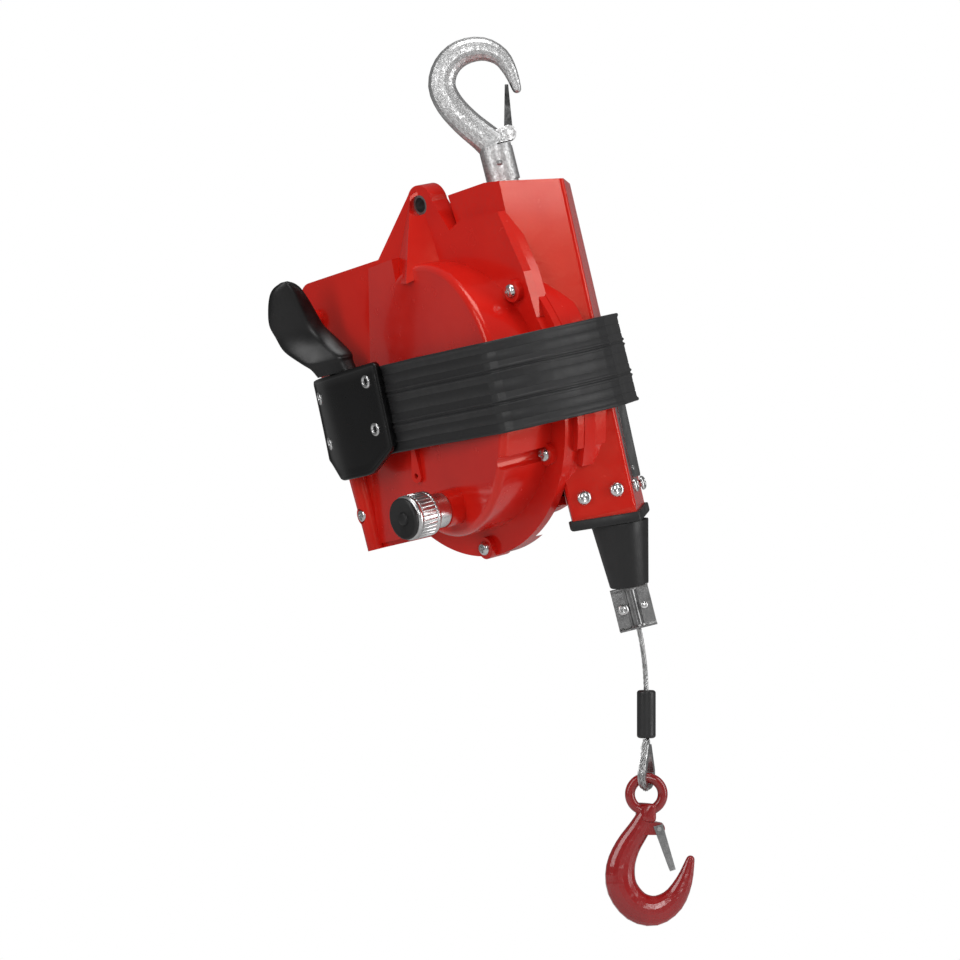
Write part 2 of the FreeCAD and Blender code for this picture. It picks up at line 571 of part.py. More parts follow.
# ---------------------------------------------------------------- rope and load hook
def build_line():
    clamp_top = BOTTOM_Z - CAP_T - BUFFER_H - GAP
    clamp_end = clamp_top - CLAMP_H
    corner = HUNG.multVec(Vector(0, 0, clamp_end - 0.5 * ROPE_FREE))
    sleeve_top = corner - Z * (0.5 * ROPE_FREE)
    leave = math.sqrt(2 * DRUM_OFFSET * 2 * ROPE_R + 120)
    upper = Part.Wire([Part.LineSegment(HUNG.multVec(Vector(0, 0, DRUM.z - leave)),
                                        HUNG.multVec(Vector(0, 0, clamp_end))).toShape()])
    keep("rope_inside", tube(upper, ROPE_R), hung=False)
    free, radii = rounded_run([HUNG.multVec(Vector(0, 0, clamp_end)), corner, sleeve_top])
    print("rope arc radii", [round(r) for r in radii], "free rope", round(free.Length, 1))
    keep("wire_rope", tube(free, ROPE_R), hung=False)
    # stop clamp of two pressed halves
    halves = []
    for side in (-1, 1):
        shell = block(-CLAMP_W / 2, CLAMP_W / 2, min(0.4 * side, 9 * side), max(0.4 * side, 9 * side),
                      clamp_end, clamp_top)
        shell = shell.cut(block(-CLAMP_W, CLAMP_W, min(3 * side, 7 * side), max(3 * side, 7 * side),
                                clamp_end + 3, clamp_top - 3).cut(
            rod(6, Vector(0, 0, clamp_end), Z, CLAMP_H)))
        shell = shell.cut(rod(ROPE_R + RUN, Vector(0, 0, clamp_end), Z, CLAMP_H))
        for x in (-8.5, 8.5):
            shell = shell.cut(rod(2.6, Vector(x, -12, (clamp_top + clamp_end) / 2), Y, 24))
        halves.append(shell)
    turn = Placement(Vector(), Rotation(Z, VIEW_TURN))
    for name, shell in zip(("clamp_front", "clamp_rear"), halves):
        shell.Placement = turn
        keep(name, shell)
    bolts = []
    for x in (-8.5, 8.5):
        middle = Vector(x, 0, (clamp_top + clamp_end) / 2)
        bolts.append(rod(2.5, middle - Y * 9, Y, 18).fuse(rod(4.4, middle - Y * 9, -Y, 3)).fuse(
            rod(4.4, middle + Y * 9, Y, 3.5)))
    bolts = Part.makeCompound(bolts)
    bolts.Placement = turn
    keep("clamp_screws", bolts)
    sleeve = rod(SLEEVE_R, sleeve_top, -Z, SLEEVE_L)
    sleeve = sleeve.makeFillet(2.2, [e for e in sleeve.Edges if e.Curve.TypeId == "Part::GeomCircle"])
    keep("rope_sleeve", sleeve, hung=False)
    build_eye(sleeve_top - Z * SLEEVE_L)


def eye_outline(radius, top, half_top):
    """Teardrop path: two legs from the sleeve, round the foot of the loop."""
    centre = Vector(0, 0, -EYE_DROP + EYE_IN_R)
    reach = math.hypot(centre.z - top, half_top)
    lean = math.asin((radius - half_top) / reach) if reach else 0
    side = Vector(radius * math.cos(lean), 0, centre.z + radius * math.sin(lean))
    left = Vector(-side.x, 0, side.z)
    start, end = Vector(half_top, 0, top), Vector(-half_top, 0, top)
    foot = Vector(0, 0, centre.z - radius)
    return Part.Wire([Part.makeLine(start, side), Part.Arc(side, foot, left).toShape(),
                      Part.makeLine(left, end)])


EYE_TURN = 22.0             # plane of the rope eye, degrees round Z from the hook's plane


def build_eye(top):
    place = Placement(top, Rotation(Z, VIEW_TURN + 90 - EYE_TURN))
    path = eye_outline(EYE_IN_R + 1.5 + ROPE_R, -1.0, ROPE_R + 0.3)
    loop = tube(path, ROPE_R)
    outer = eye_outline(EYE_IN_R + 1.5 + ROPE_R, -5, ROPE_R + 1.4)
    inner = eye_outline(EYE_IN_R, -11, 1.2)
    outer_face = Part.Face(Part.Wire(outer.Edges + [Part.makeLine(
        outer.OrderedVertexes[-1].Point, outer.OrderedVertexes[0].Point)]))
    inner_face = Part.Face(Part.Wire(inner.Edges + [Part.makeLine(
        inner.OrderedVertexes[-1].Point, inner.OrderedVertexes[0].Point)]))
    thimble = outer_face.extrude(Y * 6.4).translated(-Y * 3.2)
    thimble = thimble.cut(inner_face.extrude(Y * 8).translated(-Y * 4))
    thimble = thimble.cut(tube(path, ROPE_R + 0.05))
    for shape in (loop, thimble):
        shape.Placement = place
    keep("rope_eye", loop, hung=False)
    keep("thimble", max(thimble.Solids, key=lambda s: s.Volume), hung=False)
    build_load_hook(top - Z * (EYE_DROP - EYE_PLAY))


def build_load_hook(seat):
    bar, hole = 8.0, 9.0
    centre = seat - Z * hole
    eye = Part.makeTorus(hole + bar / 2, bar / 2, Vector(), Y)
    stations = [(0, -17, 15, 11), (-6, -28, 17.5, 12.5), (-15, -42, 20, 14.5), (-20.5, -58, 23, 16.5),
                (-19, -75, 24.5, 17.5), (-8, -89, 25, 18), (7, -92.5, 24, 17), (21, -84.5, 19.5, 14),
                (30, -69, 13.5, 10), (35, -52, 7, 6)]
    place = hook_place(centre)
    hook = bent_bar(stations, Placement())
    ear = block(-4, 9, -5, 5, -32, -22).fuse(Part.makeCylinder(4.6, 10, Vector(10, -5, -27), Y))
    hook = hook.fuse([eye, ear])
    hook = hook.cut(Part.makeCylinder(1.8 + RUN, 30, Vector(10, -15, -27), Y)).removeSplitter()
    hook.Placement = place
    keep("load_hook", hook, hung=False)
    pin = Part.makeCylinder(1.8, 16, Vector(10, -8, -27), Y)
    pin.Placement = place
    keep("load_latch_pin", pin, hung=False)
    keep("load_latch", load_latch(centre), hung=False)


def load_latch(origin):
    """A channel that straddles the ear and closes the hook's throat."""
    pivot, tip = Vector(10, 0, -27), Vector(20.4, 0, -60)
    along = tip - pivot
    turn = math.degrees(math.atan2(along.z, along.x))
    width, sheet = 13.6, 1.5
    profile = [Vector(-3, 0, -3.8), Vector(along.Length, 0, -2), Vector(along.Length, 0, 2.8),
               Vector(-3, 0, 3.8)]
    body = plate(profile, Y * width)
    inner = [Vector(-6, 0, -6), Vector(along.Length + 2, 0, -6), Vector(along.Length + 2, 0, 1.2),
             Vector(12, 0, 1.6), Vector(12, 0, 6), Vector(-6, 0, 6)]
    body = body.cut(plate(inner, Y * (width - 2 * sheet)).translated(Y * sheet))
    body = body.cut(Part.makeCylinder(1.8 + RUN, width + 2, Vector(0, -1, 0), Y))
    body.Placement = Placement(pivot - Y * (width / 2), Rotation(Y, -turn))
    body.Placement = hook_place(origin).multiply(body.Placement)
    return body


# ---------------------------------------------------------------- bumper band and grip
def band_outline():
    """Convex outline, seen from above, of the castings within the band's height."""
    slab = block(-400, 200, -200, 200, DRUM.z - BAND_H / 2 - 1, DRUM.z + BAND_H / 2 + 1)
    dots = set()
    for casting in CASTINGS:
        points, _ = casting.common(slab).tessellate(1.0)
        dots.update((round(p.x, 1), round(p.y, 1)) for p in points)
    rims = []
    for run in (sorted(dots), sorted(dots, reverse=True)):
        rim = []
        for dot in run:
            while len(rim) > 1 and turn_of(rim[-2], rim[-1], dot) <= 0:
                rim.pop()
            rim.append(dot)
        rims += rim[:-1]
    # leave out corners that hardly stand out
    while True:
        stand = [turn_of(rims[i - 1], rims[i], rims[(i + 1) % len(rims)])
                 / math.dist(rims[i - 1], rims[(i + 1) % len(rims)]) for i in range(len(rims))]
        if min(stand) > 0.25:
            return [Vector(x, y, 0) for x, y in rims]
        rims.pop(stand.index(min(stand)))


def turn_of(a, b, c):
    return (b[0] - a[0]) * (c[1] - b[1]) - (b[1] - a[1]) * (c[0] - b[0])


def band_prism(outline, offset, low, high):
    rim = Part.makePolygon(outline + outline[:1])
    face = Part.Face(rim).makeOffset2D(BAND_GAP + offset)
    return face.extrude(Z * (high - low)).translated(Z * (DRUM.z + low))


def build_band():
    half = BAND_H / 2
    outline = band_outline()
    strip = band_prism(outline, BAND_T - BAND_RIB, -half, half)
    ribs = [band_prism(outline, BAND_T, z - w / 2, z + w / 2)
            for z, w in ((half - 2, 4), (half / 3 + 2, 2.4), (half / 3 - 3, 2.4),
                         (-half / 3 + 3, 2.4), (-half / 3 - 2, 2.4), (-half + 2, 4))]
    band = strip.fuse(ribs).cut(band_prism(outline, 0, -half - 1, half + 1))
    joint = DRUM.x - WING_X + 34
    band = band.cut(block(joint, joint + 5, FLANGE_Y - 30, FLANGE_Y + 2, DRUM.z - 50, DRUM.z + 50))
    keep("bumper_band", band.removeSplitter())


PLATE_OUT = [(-191, -61), (-130, -78), (-62, -82.5)]    # outside of the clamp plate, from the drum
PLATE_IN = [(-62, -76.84), (-130, -71.5), (-188, -55)]
PLATE_TOP, PLATE_FOOT = 39.0, -49.0


def plate_spot(x):
    """Height of the clamp plate's outside at x, and its outward direction."""
    i = 0 if x < PLATE_OUT[1][0] else 1
    (x0, y0), (x1, y1) = PLATE_OUT[i:i + 2]
    out = Vector(y1 - y0, x0 - x1, 0).normalize()
    return y0 + (y1 - y0) * (x - x0) / (x1 - x0), out


def build_grip():
    shell = plate([at_drum(x, y, PLATE_FOOT) for x, y in PLATE_OUT + PLATE_IN],
                  Z * (PLATE_TOP - PLATE_FOOT))
    ridge = [e for e in shell.Edges if abs(e.tangentAt(0).z) > 0.9
             and e.CenterOfMass.distanceToPoint(at_drum(-130, -78, -5)) < 1]
    shell = shell.makeFillet(30, ridge)
    for x, side in ((PLATE_OUT[2][0], 1), (PLATE_OUT[0][0], -1)):
        for z, cut in ((PLATE_FOOT, 17), (PLATE_TOP, -7)):
            shell = shell.cut(plate([at_drum(x + side, -120, z - cut / 17), at_drum(x + side, -120, z + cut),
                                     at_drum(x - side * abs(cut), -120, z - cut / 17)], Y * 90))
    rivets = []
    for x, heights in ((-76, (26, -13)), (-180, (20, -17))):
        y, out = plate_spot(x)
        for z in heights:
            seat = at_drum(x, y, z)
            shell = shell.cut(rod(2.6, seat + out * 3, -out, 12))
            rivets.append(ring(5.6, 2.2, seat + out * 0.05, out, 1.4).fuse(
                ring(2.55, 1.6, seat + out * 0.05, -out, 5)))
    for x in (-82, -176):
        shell = shell.cut(rod(1.4, at_drum(x, -120, PLATE_FOOT + 13), Y, 90))
    keep("clamp_plate", shell)
    keep("grip_rivets", Part.makeCompound(rivets))
    across = Vector(-1, -1, 0).normalize()
    through = Vector(1, -1, 0).normalize()
    sections = [(-110, -75.3, PLATE_TOP + 0.2, 26, 9), (-113, -77, PLATE_TOP + 8, 29, 10),
                (-119, -81, 60, 37, 13), (-128, -85, 80, 42, 14), (-136, -91, 98, 37, 13),
                (-141, -95, 110, 25, 11), (-143, -96.5, 116, 9, 6)]
    wires = []
    for x, y, z, wide, thick in sections:
        centre = at_drum(x, y, z)
        oval = Part.Ellipse(centre + across * (wide / 2), centre + through * (thick / 2), centre)
        wires.append(Part.Wire(oval.toShape()))
    keep("grip_paddle", Part.makeLoft(wires, True, False))


build_castings()
build_outlet()
build_drum()
build_lock()
build_suspension()
build_line()
build_band()
build_grip()

os.makedirs("parts", exist_ok=True)
for name, shape in PARTS.items():
    shape.exportStep(f"parts/{name}.step")
    box = shape.BoundBox
    print(f"{name:18s} valid {shape.isValid()} solids {len(shape.Solids)} vol {shape.Volume:.0f} "
          f"z {box.ZMin:.0f}..{box.ZMax:.0f}")
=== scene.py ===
import json
import math

import bmesh
import bpy
from mathutils import Matrix, Vector, noise


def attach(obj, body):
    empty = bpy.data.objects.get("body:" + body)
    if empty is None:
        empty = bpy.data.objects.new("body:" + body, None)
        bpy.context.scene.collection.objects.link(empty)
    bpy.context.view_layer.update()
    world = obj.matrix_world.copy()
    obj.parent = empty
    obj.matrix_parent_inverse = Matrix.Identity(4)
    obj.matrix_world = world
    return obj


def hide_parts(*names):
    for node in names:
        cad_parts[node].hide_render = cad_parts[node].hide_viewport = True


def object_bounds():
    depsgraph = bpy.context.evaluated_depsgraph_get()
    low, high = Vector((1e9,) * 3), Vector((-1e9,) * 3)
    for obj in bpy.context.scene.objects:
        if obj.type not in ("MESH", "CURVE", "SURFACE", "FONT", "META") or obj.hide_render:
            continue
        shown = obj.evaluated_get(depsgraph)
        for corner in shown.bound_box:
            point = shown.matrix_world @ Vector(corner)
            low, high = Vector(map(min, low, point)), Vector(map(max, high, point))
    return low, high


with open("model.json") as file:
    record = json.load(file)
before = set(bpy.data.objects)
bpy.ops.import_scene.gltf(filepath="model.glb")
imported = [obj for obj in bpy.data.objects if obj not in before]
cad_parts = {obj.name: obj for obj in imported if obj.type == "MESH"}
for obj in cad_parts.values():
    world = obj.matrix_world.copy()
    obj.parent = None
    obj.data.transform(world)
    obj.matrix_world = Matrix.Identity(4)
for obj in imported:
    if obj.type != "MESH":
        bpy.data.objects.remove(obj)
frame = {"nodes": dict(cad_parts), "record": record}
NODES = frame["nodes"]
cad_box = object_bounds()

# Lengths are in millimetres in the balancer's own upright frame, as it is built: the
# rope axis is Z, the drum axis lies at DRUM, and the front is -Y. MM and HUNG bring
# them to metres and to the tilt at which the unloaded balancer hangs.
MM = 0.001
HANG_TILT = math.radians(14)
VIEW_TURN = math.radians(51)        # the hooks' plane and the camera, turned about Z
BOWL = Vector((0, 0, -19))          # bowl of the suspension hook, as it hangs
HOOK_BOWL = Vector((-28, 0, -19))   # the same point in the upright frame
DRUM = Vector((-85, 0, -250))
RING_X, RING_Z = -7, -9             # middle of the round flange, from the drum's axis
TOWER_TOP_Z = -98
TOWER_FOOT_Z = -374
HEAD_FALL_X, HEAD_FALL_Y = 0.134, 0.148     # slopes of the tower's head
FLANGE_FRONT = -48
CAP_DEPTH = 8
CONE_LENGTH = 53
CLAMP_GAP = 0.3
CLAMP_HIGH = 34
CLAMP_FOOT = TOWER_FOOT_Z - CAP_DEPTH - CONE_LENGTH - CLAMP_GAP - CLAMP_HIGH
ROPE_R = 2
ROPE_LAY = 26                       # length in which a strand goes once round

ACROSS = Vector((math.cos(VIEW_TURN), math.sin(VIEW_TURN), 0))
OUTWARD = Vector((math.sin(VIEW_TURN), -math.cos(VIEW_TURN), 0))
TILT = Matrix.Rotation(HANG_TILT, 4, OUTWARD)
HUNG = Matrix.Scale(MM, 4) @ Matrix.Translation(BOWL) @ TILT @ Matrix.Translation(-HOOK_BOWL)
HOOK_TURN = Matrix.Rotation(VIEW_TURN, 4, "Z")
X, Y, Z = Vector((1, 0, 0)), Vector((0, 1, 0)), Vector((0, 0, 1))


def at_drum(x, y, z):
    return Vector((DRUM.x + x, y, DRUM.z + z))


def frame_at(origin, forward, up=Z):
    """A matrix whose Z is forward, for pieces turned about their own axis."""
    forward = forward.normalized()
    side = up.cross(forward)
    if side.length < 1e-4:
        side = X.cross(forward)
    side.normalize()
    rows = Matrix((side, forward.cross(side), forward)).transposed().to_4x4()
    return Matrix.Translation(origin) @ rows


# ------------------------------------------------------------------ camera and light
def set_camera():
    camera = bpy.data.objects.new("camera", bpy.data.cameras.new("camera"))
    bpy.context.scene.collection.objects.link(camera)
    distance, height, seen_high, sensor = 3.0, -0.334, 0.768, 36
    camera.data.lens = sensor * distance / seen_high
    camera.data.clip_start, camera.data.clip_end = 0.05, 20
    camera.location = OUTWARD * distance + Z * height
    camera.rotation_euler = (-OUTWARD).to_track_quat("-Z", "Y").to_euler()
    bpy.context.scene.camera = camera


def softbox(name, place, aim, width, height, watts):
    lamp = bpy.data.lights.new(name, "AREA")
    lamp.shape, lamp.size, lamp.size_y, lamp.energy = "RECTANGLE", width, height, watts
    box = bpy.data.objects.new(name, lamp)
    bpy.context.scene.collection.objects.link(box)
    box.location = place
    box.rotation_euler = (Vector(aim) - Vector(place)).to_track_quat("-Z", "Y").to_euler()


def light_the_studio():
    middle = Vector((0, 0, -0.30))
    left, up, near = -ACROSS, Z, OUTWARD
    softbox("left softbox", middle + left * 1.0 + near * 0.8 + up * 0.45, middle, 0.45, 1.2, 7)
    softbox("right softbox", middle - left * 1.15 + near * 0.35 + up * 0.2, middle, 0.4, 1.3, 7)
    softbox("top softbox", middle + up * 1.3 + near * 0.25, middle, 1.0, 0.6, 9)
    softbox("front softbox", middle + near * 3.4 - left * 0.36 + up * 0.84, middle, 0.8, 1.1, 24)
    world = bpy.data.worlds.new("studio")
    world.use_nodes = True
    bpy.context.scene.world = world
    tree = world.node_tree
    tree.nodes.clear()
    out = tree.nodes.new("ShaderNodeOutputWorld")
    seen = tree.nodes.new("ShaderNodeBackground")
    seen.inputs["Color"].default_value = (1, 1, 1, 1)
    fill = tree.nodes.new("ShaderNodeBackground")
    fill.inputs["Color"].default_value = (1, 1, 1, 1)
    fill.inputs["Strength"].default_value = 0.2
    mix = tree.nodes.new("ShaderNodeMixShader")
    path = tree.nodes.new("ShaderNodeLightPath")
    tree.links.new(path.outputs["Is Camera Ray"], mix.inputs[0])
    tree.links.new(fill.outputs[0], mix.inputs[1])
    tree.links.new(seen.outputs[0], mix.inputs[2])
    tree.links.new(mix.outputs[0], out.inputs[0])
    bpy.context.scene.view_settings.view_transform = "Standard"


# ------------------------------------------------------------------ finishes
def hue(r, g, b):
    """A colour as a paint chart gives it, 0 to 255, for the shader."""
    def line(c):
        c /= 255
        return c / 12.92 if c <= 0.04045 else ((c + 0.055) / 1.055) ** 2.4
    return (line(r), line(g), line(b), 1)


class Bench:
    """Puts nodes into one tree and joins them."""

    def __init__(self, tree):
        self.tree = tree

    def put(self, kind, **settings):
        node = self.tree.nodes.new(kind)
        for key, value in settings.items():
            setattr(node, key, value)
        return node

    def join(self, source, target):
        self.tree.links.new(source, target)

    def feed(self, socket, value):
        if isinstance(value, bpy.types.NodeSocket):
            self.join(value, socket)
        else:
            socket.default_value = value

    def noise(self, vector, scale, detail=4.0, rough=0.55):
        node = self.put("ShaderNodeTexNoise")
        self.feed(node.inputs["Vector"], vector)
        self.feed(node.inputs["Scale"], scale)
        node.inputs["Detail"].default_value = detail
        node.inputs["Roughness"].default_value = rough
        return node.outputs["Fac"]

    def span(self, value, low, high, new_low=0.0, new_high=1.0):
        node = self.put("ShaderNodeMapRange")
        self.feed(node.inputs["Value"], value)
        for label, number in (("From Min", low), ("From Max", high),
                              ("To Min", new_low), ("To Max", new_high)):
            self.feed(node.inputs[label], number)
        return node.outputs["Result"]

    def math(self, action, a, b=0.0):
        node = self.put("ShaderNodeMath", operation=action)
        self.feed(node.inputs[0], a)
        self.feed(node.inputs[1], b)
        return node.outputs[0]

    def blend(self, share, one, two):
        node = self.put("ShaderNodeMix", data_type="RGBA")
        self.feed(node.inputs["Factor"], share)
        self.feed([s for s in node.inputs if s.name == "A" and s.type == "RGBA"][0], one)
        self.feed([s for s in node.inputs if s.name == "B" and s.type == "RGBA"][0], two)
        return [s for s in node.outputs if s.type == "RGBA"][0]


def effect(name, takes, gives):
    """An empty shader group with named sockets, and its bench, inlet and outlet."""
    group = bpy.data.node_groups.new(name, "ShaderNodeTree")
    for label, kind, value in takes:
        socket = group.interface.new_socket(label, in_out="INPUT", socket_type=kind)
        socket.default_value = value
    for label, kind in gives:
        group.interface.new_socket(label, in_out="OUTPUT", socket_type=kind)
    bench = Bench(group)
    return group, bench, bench.put("NodeGroupInput"), bench.put("NodeGroupOutput")


FLOAT, COLOUR = "NodeSocketFloat", "NodeSocketColor"


def build_worn_edge():
    """How far a spot stands out on an edge, broken up by noise."""
    group, b, inlet, outlet = effect("worn edge", [("Start", FLOAT, 0.53), ("Break-up", FLOAT, 300.0)],
                                     [("Mask", FLOAT)])
    point = b.put("ShaderNodeNewGeometry").outputs["Pointiness"]
    spot = b.put("ShaderNodeTexCoord").outputs["Object"]
    end = b.math("ADD", inlet.outputs["Start"], 0.06)
    edge = b.span(point, inlet.outputs["Start"], end)
    rub = b.span(b.noise(spot, inlet.outputs["Break-up"]), 0.42, 0.62)
    b.join(b.math("MULTIPLY", edge, rub), outlet.inputs["Mask"])
    return group


def build_orange_peel():
    """The soft waves of sprayed paint, and faint drifts of tone."""
    group, b, inlet, outlet = effect(
        "orange peel", [("Colour", COLOUR, (1, 0, 0, 1)), ("Deep", COLOUR, (0.5, 0, 0, 1)),
                        ("Peel", FLOAT, 420.0)],
        [("Colour", COLOUR), ("Roughness", FLOAT), ("Height", FLOAT)])
    spot = b.put("ShaderNodeTexCoord").outputs["Object"]
    drift = b.span(b.noise(spot, 14.0, 3.0), 0.35, 0.7)
    b.join(b.blend(drift, inlet.outputs["Colour"], inlet.outputs["Deep"]), outlet.inputs["Colour"])
    peel = b.noise(spot, inlet.outputs["Peel"], 2.0, 0.4)
    cast = b.noise(spot, 55.0, 2.0, 0.4)
    b.join(b.math("ADD", peel, b.math("MULTIPLY", cast, 1.6)), outlet.inputs["Height"])
    b.join(b.span(b.noise(spot, 60.0, 5.0), 0.3, 0.75, 0.16, 0.30), outlet.inputs["Roughness"])
    return group


def build_zinc_bloom():
    """Patches of a dipped or plated coat, light and dark, with small pits."""
    group, b, inlet, outlet = effect(
        "zinc bloom", [("Light", COLOUR, (0.7, 0.7, 0.7, 1)), ("Dark", COLOUR, (0.3, 0.3, 0.3, 1)),
                       ("Patch", FLOAT, 120.0), ("Rough Low", FLOAT, 0.25), ("Rough High", FLOAT, 0.5)],
        [("Colour", COLOUR), ("Roughness", FLOAT), ("Height", FLOAT)])
    spot = b.put("ShaderNodeTexCoord").outputs["Object"]
    patch = b.span(b.noise(spot, inlet.outputs["Patch"], 6.0, 0.62), 0.36, 0.64)
    b.join(b.blend(patch, inlet.outputs["Dark"], inlet.outputs["Light"]), outlet.inputs["Colour"])
    b.join(b.span(patch, 0.0, 1.0, inlet.outputs["Rough High"], inlet.outputs["Rough Low"]),
           outlet.inputs["Roughness"])
    pits = b.span(b.noise(spot, 900.0, 3.0), 0.35, 0.5)
    b.join(b.math("ADD", pits, b.noise(spot, 260.0, 3.0)), outlet.inputs["Height"])
    return group


def build_moulded_skin():
    """Fine grain of moulded rubber and plastic with a little dust in the open."""
    group, b, inlet, outlet = effect(
        "moulded skin", [("Colour", COLOUR, (0.02, 0.02, 0.02, 1)), ("Dust", COLOUR, (0.1, 0.1, 0.1, 1)),
                         ("Grain", FLOAT, 900.0), ("Rough Low", FLOAT, 0.35), ("Rough High", FLOAT, 0.55)],
        [("Colour", COLOUR), ("Roughness", FLOAT), ("Height", FLOAT)])
    spot = b.put("ShaderNodeTexCoord").outputs["Object"]
    dust = b.span(b.noise(spot, 38.0, 6.0, 0.65), 0.45, 0.9, 0.0, 0.3)
    b.join(b.blend(dust, inlet.outputs["Colour"], inlet.outputs["Dust"]), outlet.inputs["Colour"])
    wear = b.noise(spot, 70.0, 4.0)
    b.join(b.span(wear, 0.3, 0.7, inlet.outputs["Rough Low"], inlet.outputs["Rough High"]),
           outlet.inputs["Roughness"])
    b.join(b.noise(spot, inlet.outputs["Grain"], 3.0), outlet.inputs["Height"])
    return group


GROUPS = {}


def finish_of(name, group, values, bump, metallic=0.0, coat=0.0, coat_rough=0.1, worn=None,
              specular=0.5, sheen=None):
    """A material: one effect group into a Principled BSDF.

    bump is (strength, distance); worn is (where edges start to wear, colour, share) and
    sheen tints the reflections.
    """
    material = bpy.data.materials.new(name)
    material.use_nodes = True
    b = Bench(material.node_tree)
    shader = material.node_tree.nodes["Principled BSDF"]
    shader.inputs["Metallic"].default_value = metallic
    shader.inputs["Coat Weight"].default_value = coat
    shader.inputs["Coat Roughness"].default_value = coat_rough
    shader.inputs["Specular IOR Level"].default_value = specular
    if sheen:
        shader.inputs["Specular Tint"].default_value = sheen
    skin = b.put("ShaderNodeGroup")
    skin.node_tree = GROUPS[group]
    for label, value in values.items():
        skin.inputs[label].default_value = value
    colour = skin.outputs["Colour"]
    if worn:
        rub = b.put("ShaderNodeGroup")
        rub.node_tree = GROUPS["worn edge"]
        start, bare, share = worn
        rub.inputs["Start"].default_value = start
        colour = b.blend(b.math("MULTIPLY", rub.outputs["Mask"], share), colour, bare)
    b.join(colour, shader.inputs["Base Color"])
    b.join(skin.outputs["Roughness"], shader.inputs["Roughness"])
    relief = b.put("ShaderNodeBump")
    relief.inputs["Strength"].default_value = bump[0]
    relief.inputs["Distance"].default_value = bump[1]
    b.join(skin.outputs["Height"], relief.inputs["Height"])
    b.join(relief.outputs["Normal"], shader.inputs["Normal"])
    return material


def metal(light, dark, patch, low, high):
    """Settings of a grey plated coat: two tones, size of the patches, roughness."""
    return {"Light": hue(light, light, light), "Dark": hue(dark, dark, dark), "Patch": patch,
            "Rough Low": low, "Rough High": high}


def moulded(tone, dust, grain, low, high):
    """Settings of a black or white moulding: tone, dust, grain and roughness."""
    return {"Colour": hue(tone, tone, tone + 1), "Dust": hue(dust, dust, dust), "Grain": grain,
            "Rough Low": low, "Rough High": high}


def mix_finishes():
    """Every finish by its slot."""
    GROUPS.update({"worn edge": build_worn_edge(), "orange peel": build_orange_peel(),
                   "zinc bloom": build_zinc_bloom(), "moulded skin": build_moulded_skin()})
    red = {"Colour": hue(206, 30, 20), "Deep": hue(196, 22, 16), "Peel": 380.0}
    forged = {"Colour": hue(158, 18, 20), "Deep": hue(132, 12, 14), "Peel": 160.0}
    bare = hue(150, 60, 55)
    return {
        "housing_paint": finish_of("red gloss enamel", "orange peel", red, (0.10, 0.0006), coat=0.3,
                                   coat_rough=0.07, worn=(0.55, bare, 0.12), sheen=(1, 0.45, 0.3, 1)),
        "hook_paint": finish_of("red enamel on forging", "orange peel", forged, (0.35, 0.0016), coat=0.5,
                                coat_rough=0.16, worn=(0.54, bare, 0.2)),
        "galvanised": finish_of("galvanised forging", "zinc bloom", metal(220, 164, 420.0, 0.32, 0.5),
                                (0.22, 0.0006), metallic=1.0),
        "latch_dark": finish_of("dark pressed latch", "zinc bloom", metal(72, 44, 120.0, 0.3, 0.46),
                                (0.08, 0.0003), metallic=1.0),
        "zinc_plate": finish_of("bright zinc plate", "zinc bloom", metal(168, 104, 60.0, 0.16, 0.34),
                                (0.06, 0.0003), metallic=1.0),
        "screw_steel": finish_of("zinc plated screws", "zinc bloom", metal(226, 182, 150.0, 0.14, 0.3),
                                 (0.05, 0.0002), metallic=1.0),
        "nickel": finish_of("nickel rivet", "zinc bloom", metal(214, 168, 200.0, 0.16, 0.32),
                            (0.05, 0.0002), metallic=1.0),
        "latch_chrome": finish_of("plated latch", "zinc bloom", metal(190, 130, 70.0, 0.14, 0.3),
                                  (0.05, 0.0003), metallic=1.0),
        "pin_steel": finish_of("plain steel", "zinc bloom", metal(196, 150, 180.0, 0.22, 0.4),
                               (0.08, 0.0002), metallic=1.0),
        "rope_steel": finish_of("rope wire", "zinc bloom", metal(198, 140, 240.0, 0.22, 0.42),
                                (0.08, 0.0002), metallic=1.0),
        "band_rubber": finish_of("band rubber", "moulded skin", moulded(26, 40, 900.0, 0.46, 0.58),
                                 (0.10, 0.0003)),
        "buffer_rubber": finish_of("buffer rubber", "moulded skin", moulded(11, 18, 800.0, 0.36, 0.52),
                                   (0.10, 0.0003)),
        "plate_black": finish_of("black stove enamel", "moulded skin", moulded(8, 13, 1500.0, 0.26, 0.34),
                                 (0.03, 0.0001), specular=0.3),
        "grip_black": finish_of("grip moulding", "moulded skin", moulded(10, 18, 420.0, 0.28, 0.4),
                                (0.10, 0.0004), specular=0.4),
        "cap_black": finish_of("black moulding", "moulded skin", moulded(12, 22, 600.0, 0.4, 0.6),
                               (0.10, 0.0003)),
        "sleeve_black": finish_of("shrunk sleeve", "moulded skin", moulded(26, 40, 300.0, 0.34, 0.55),
                                  (0.12, 0.0004)),
        "knob_steel": finish_of("turned steel", "zinc bloom", metal(222, 180, 50.0, 0.2, 0.36),
                                (0.06, 0.0002), metallic=1.0),
        "bush_steel": finish_of("dull bush", "zinc bloom", metal(150, 100, 80.0, 0.4, 0.6),
                                (0.1, 0.0003), metallic=1.0),
        "drum_alloy": finish_of("cast alloy", "zinc bloom", metal(196, 160, 60.0, 0.36, 0.55),
                                (0.2, 0.0004), metallic=1.0),
        "spring_steel": finish_of("blued strip", "zinc bloom",
                                  {"Light": hue(96, 98, 112), "Dark": hue(52, 54, 70), "Patch": 60.0,
                                   "Rough Low": 0.25, "Rough High": 0.4}, (0.06, 0.0002), metallic=1.0),
        "guide_plastic": finish_of("white guide", "moulded skin", moulded(206, 190, 500.0, 0.4, 0.55),
                                   (0.06, 0.0002)),
    }


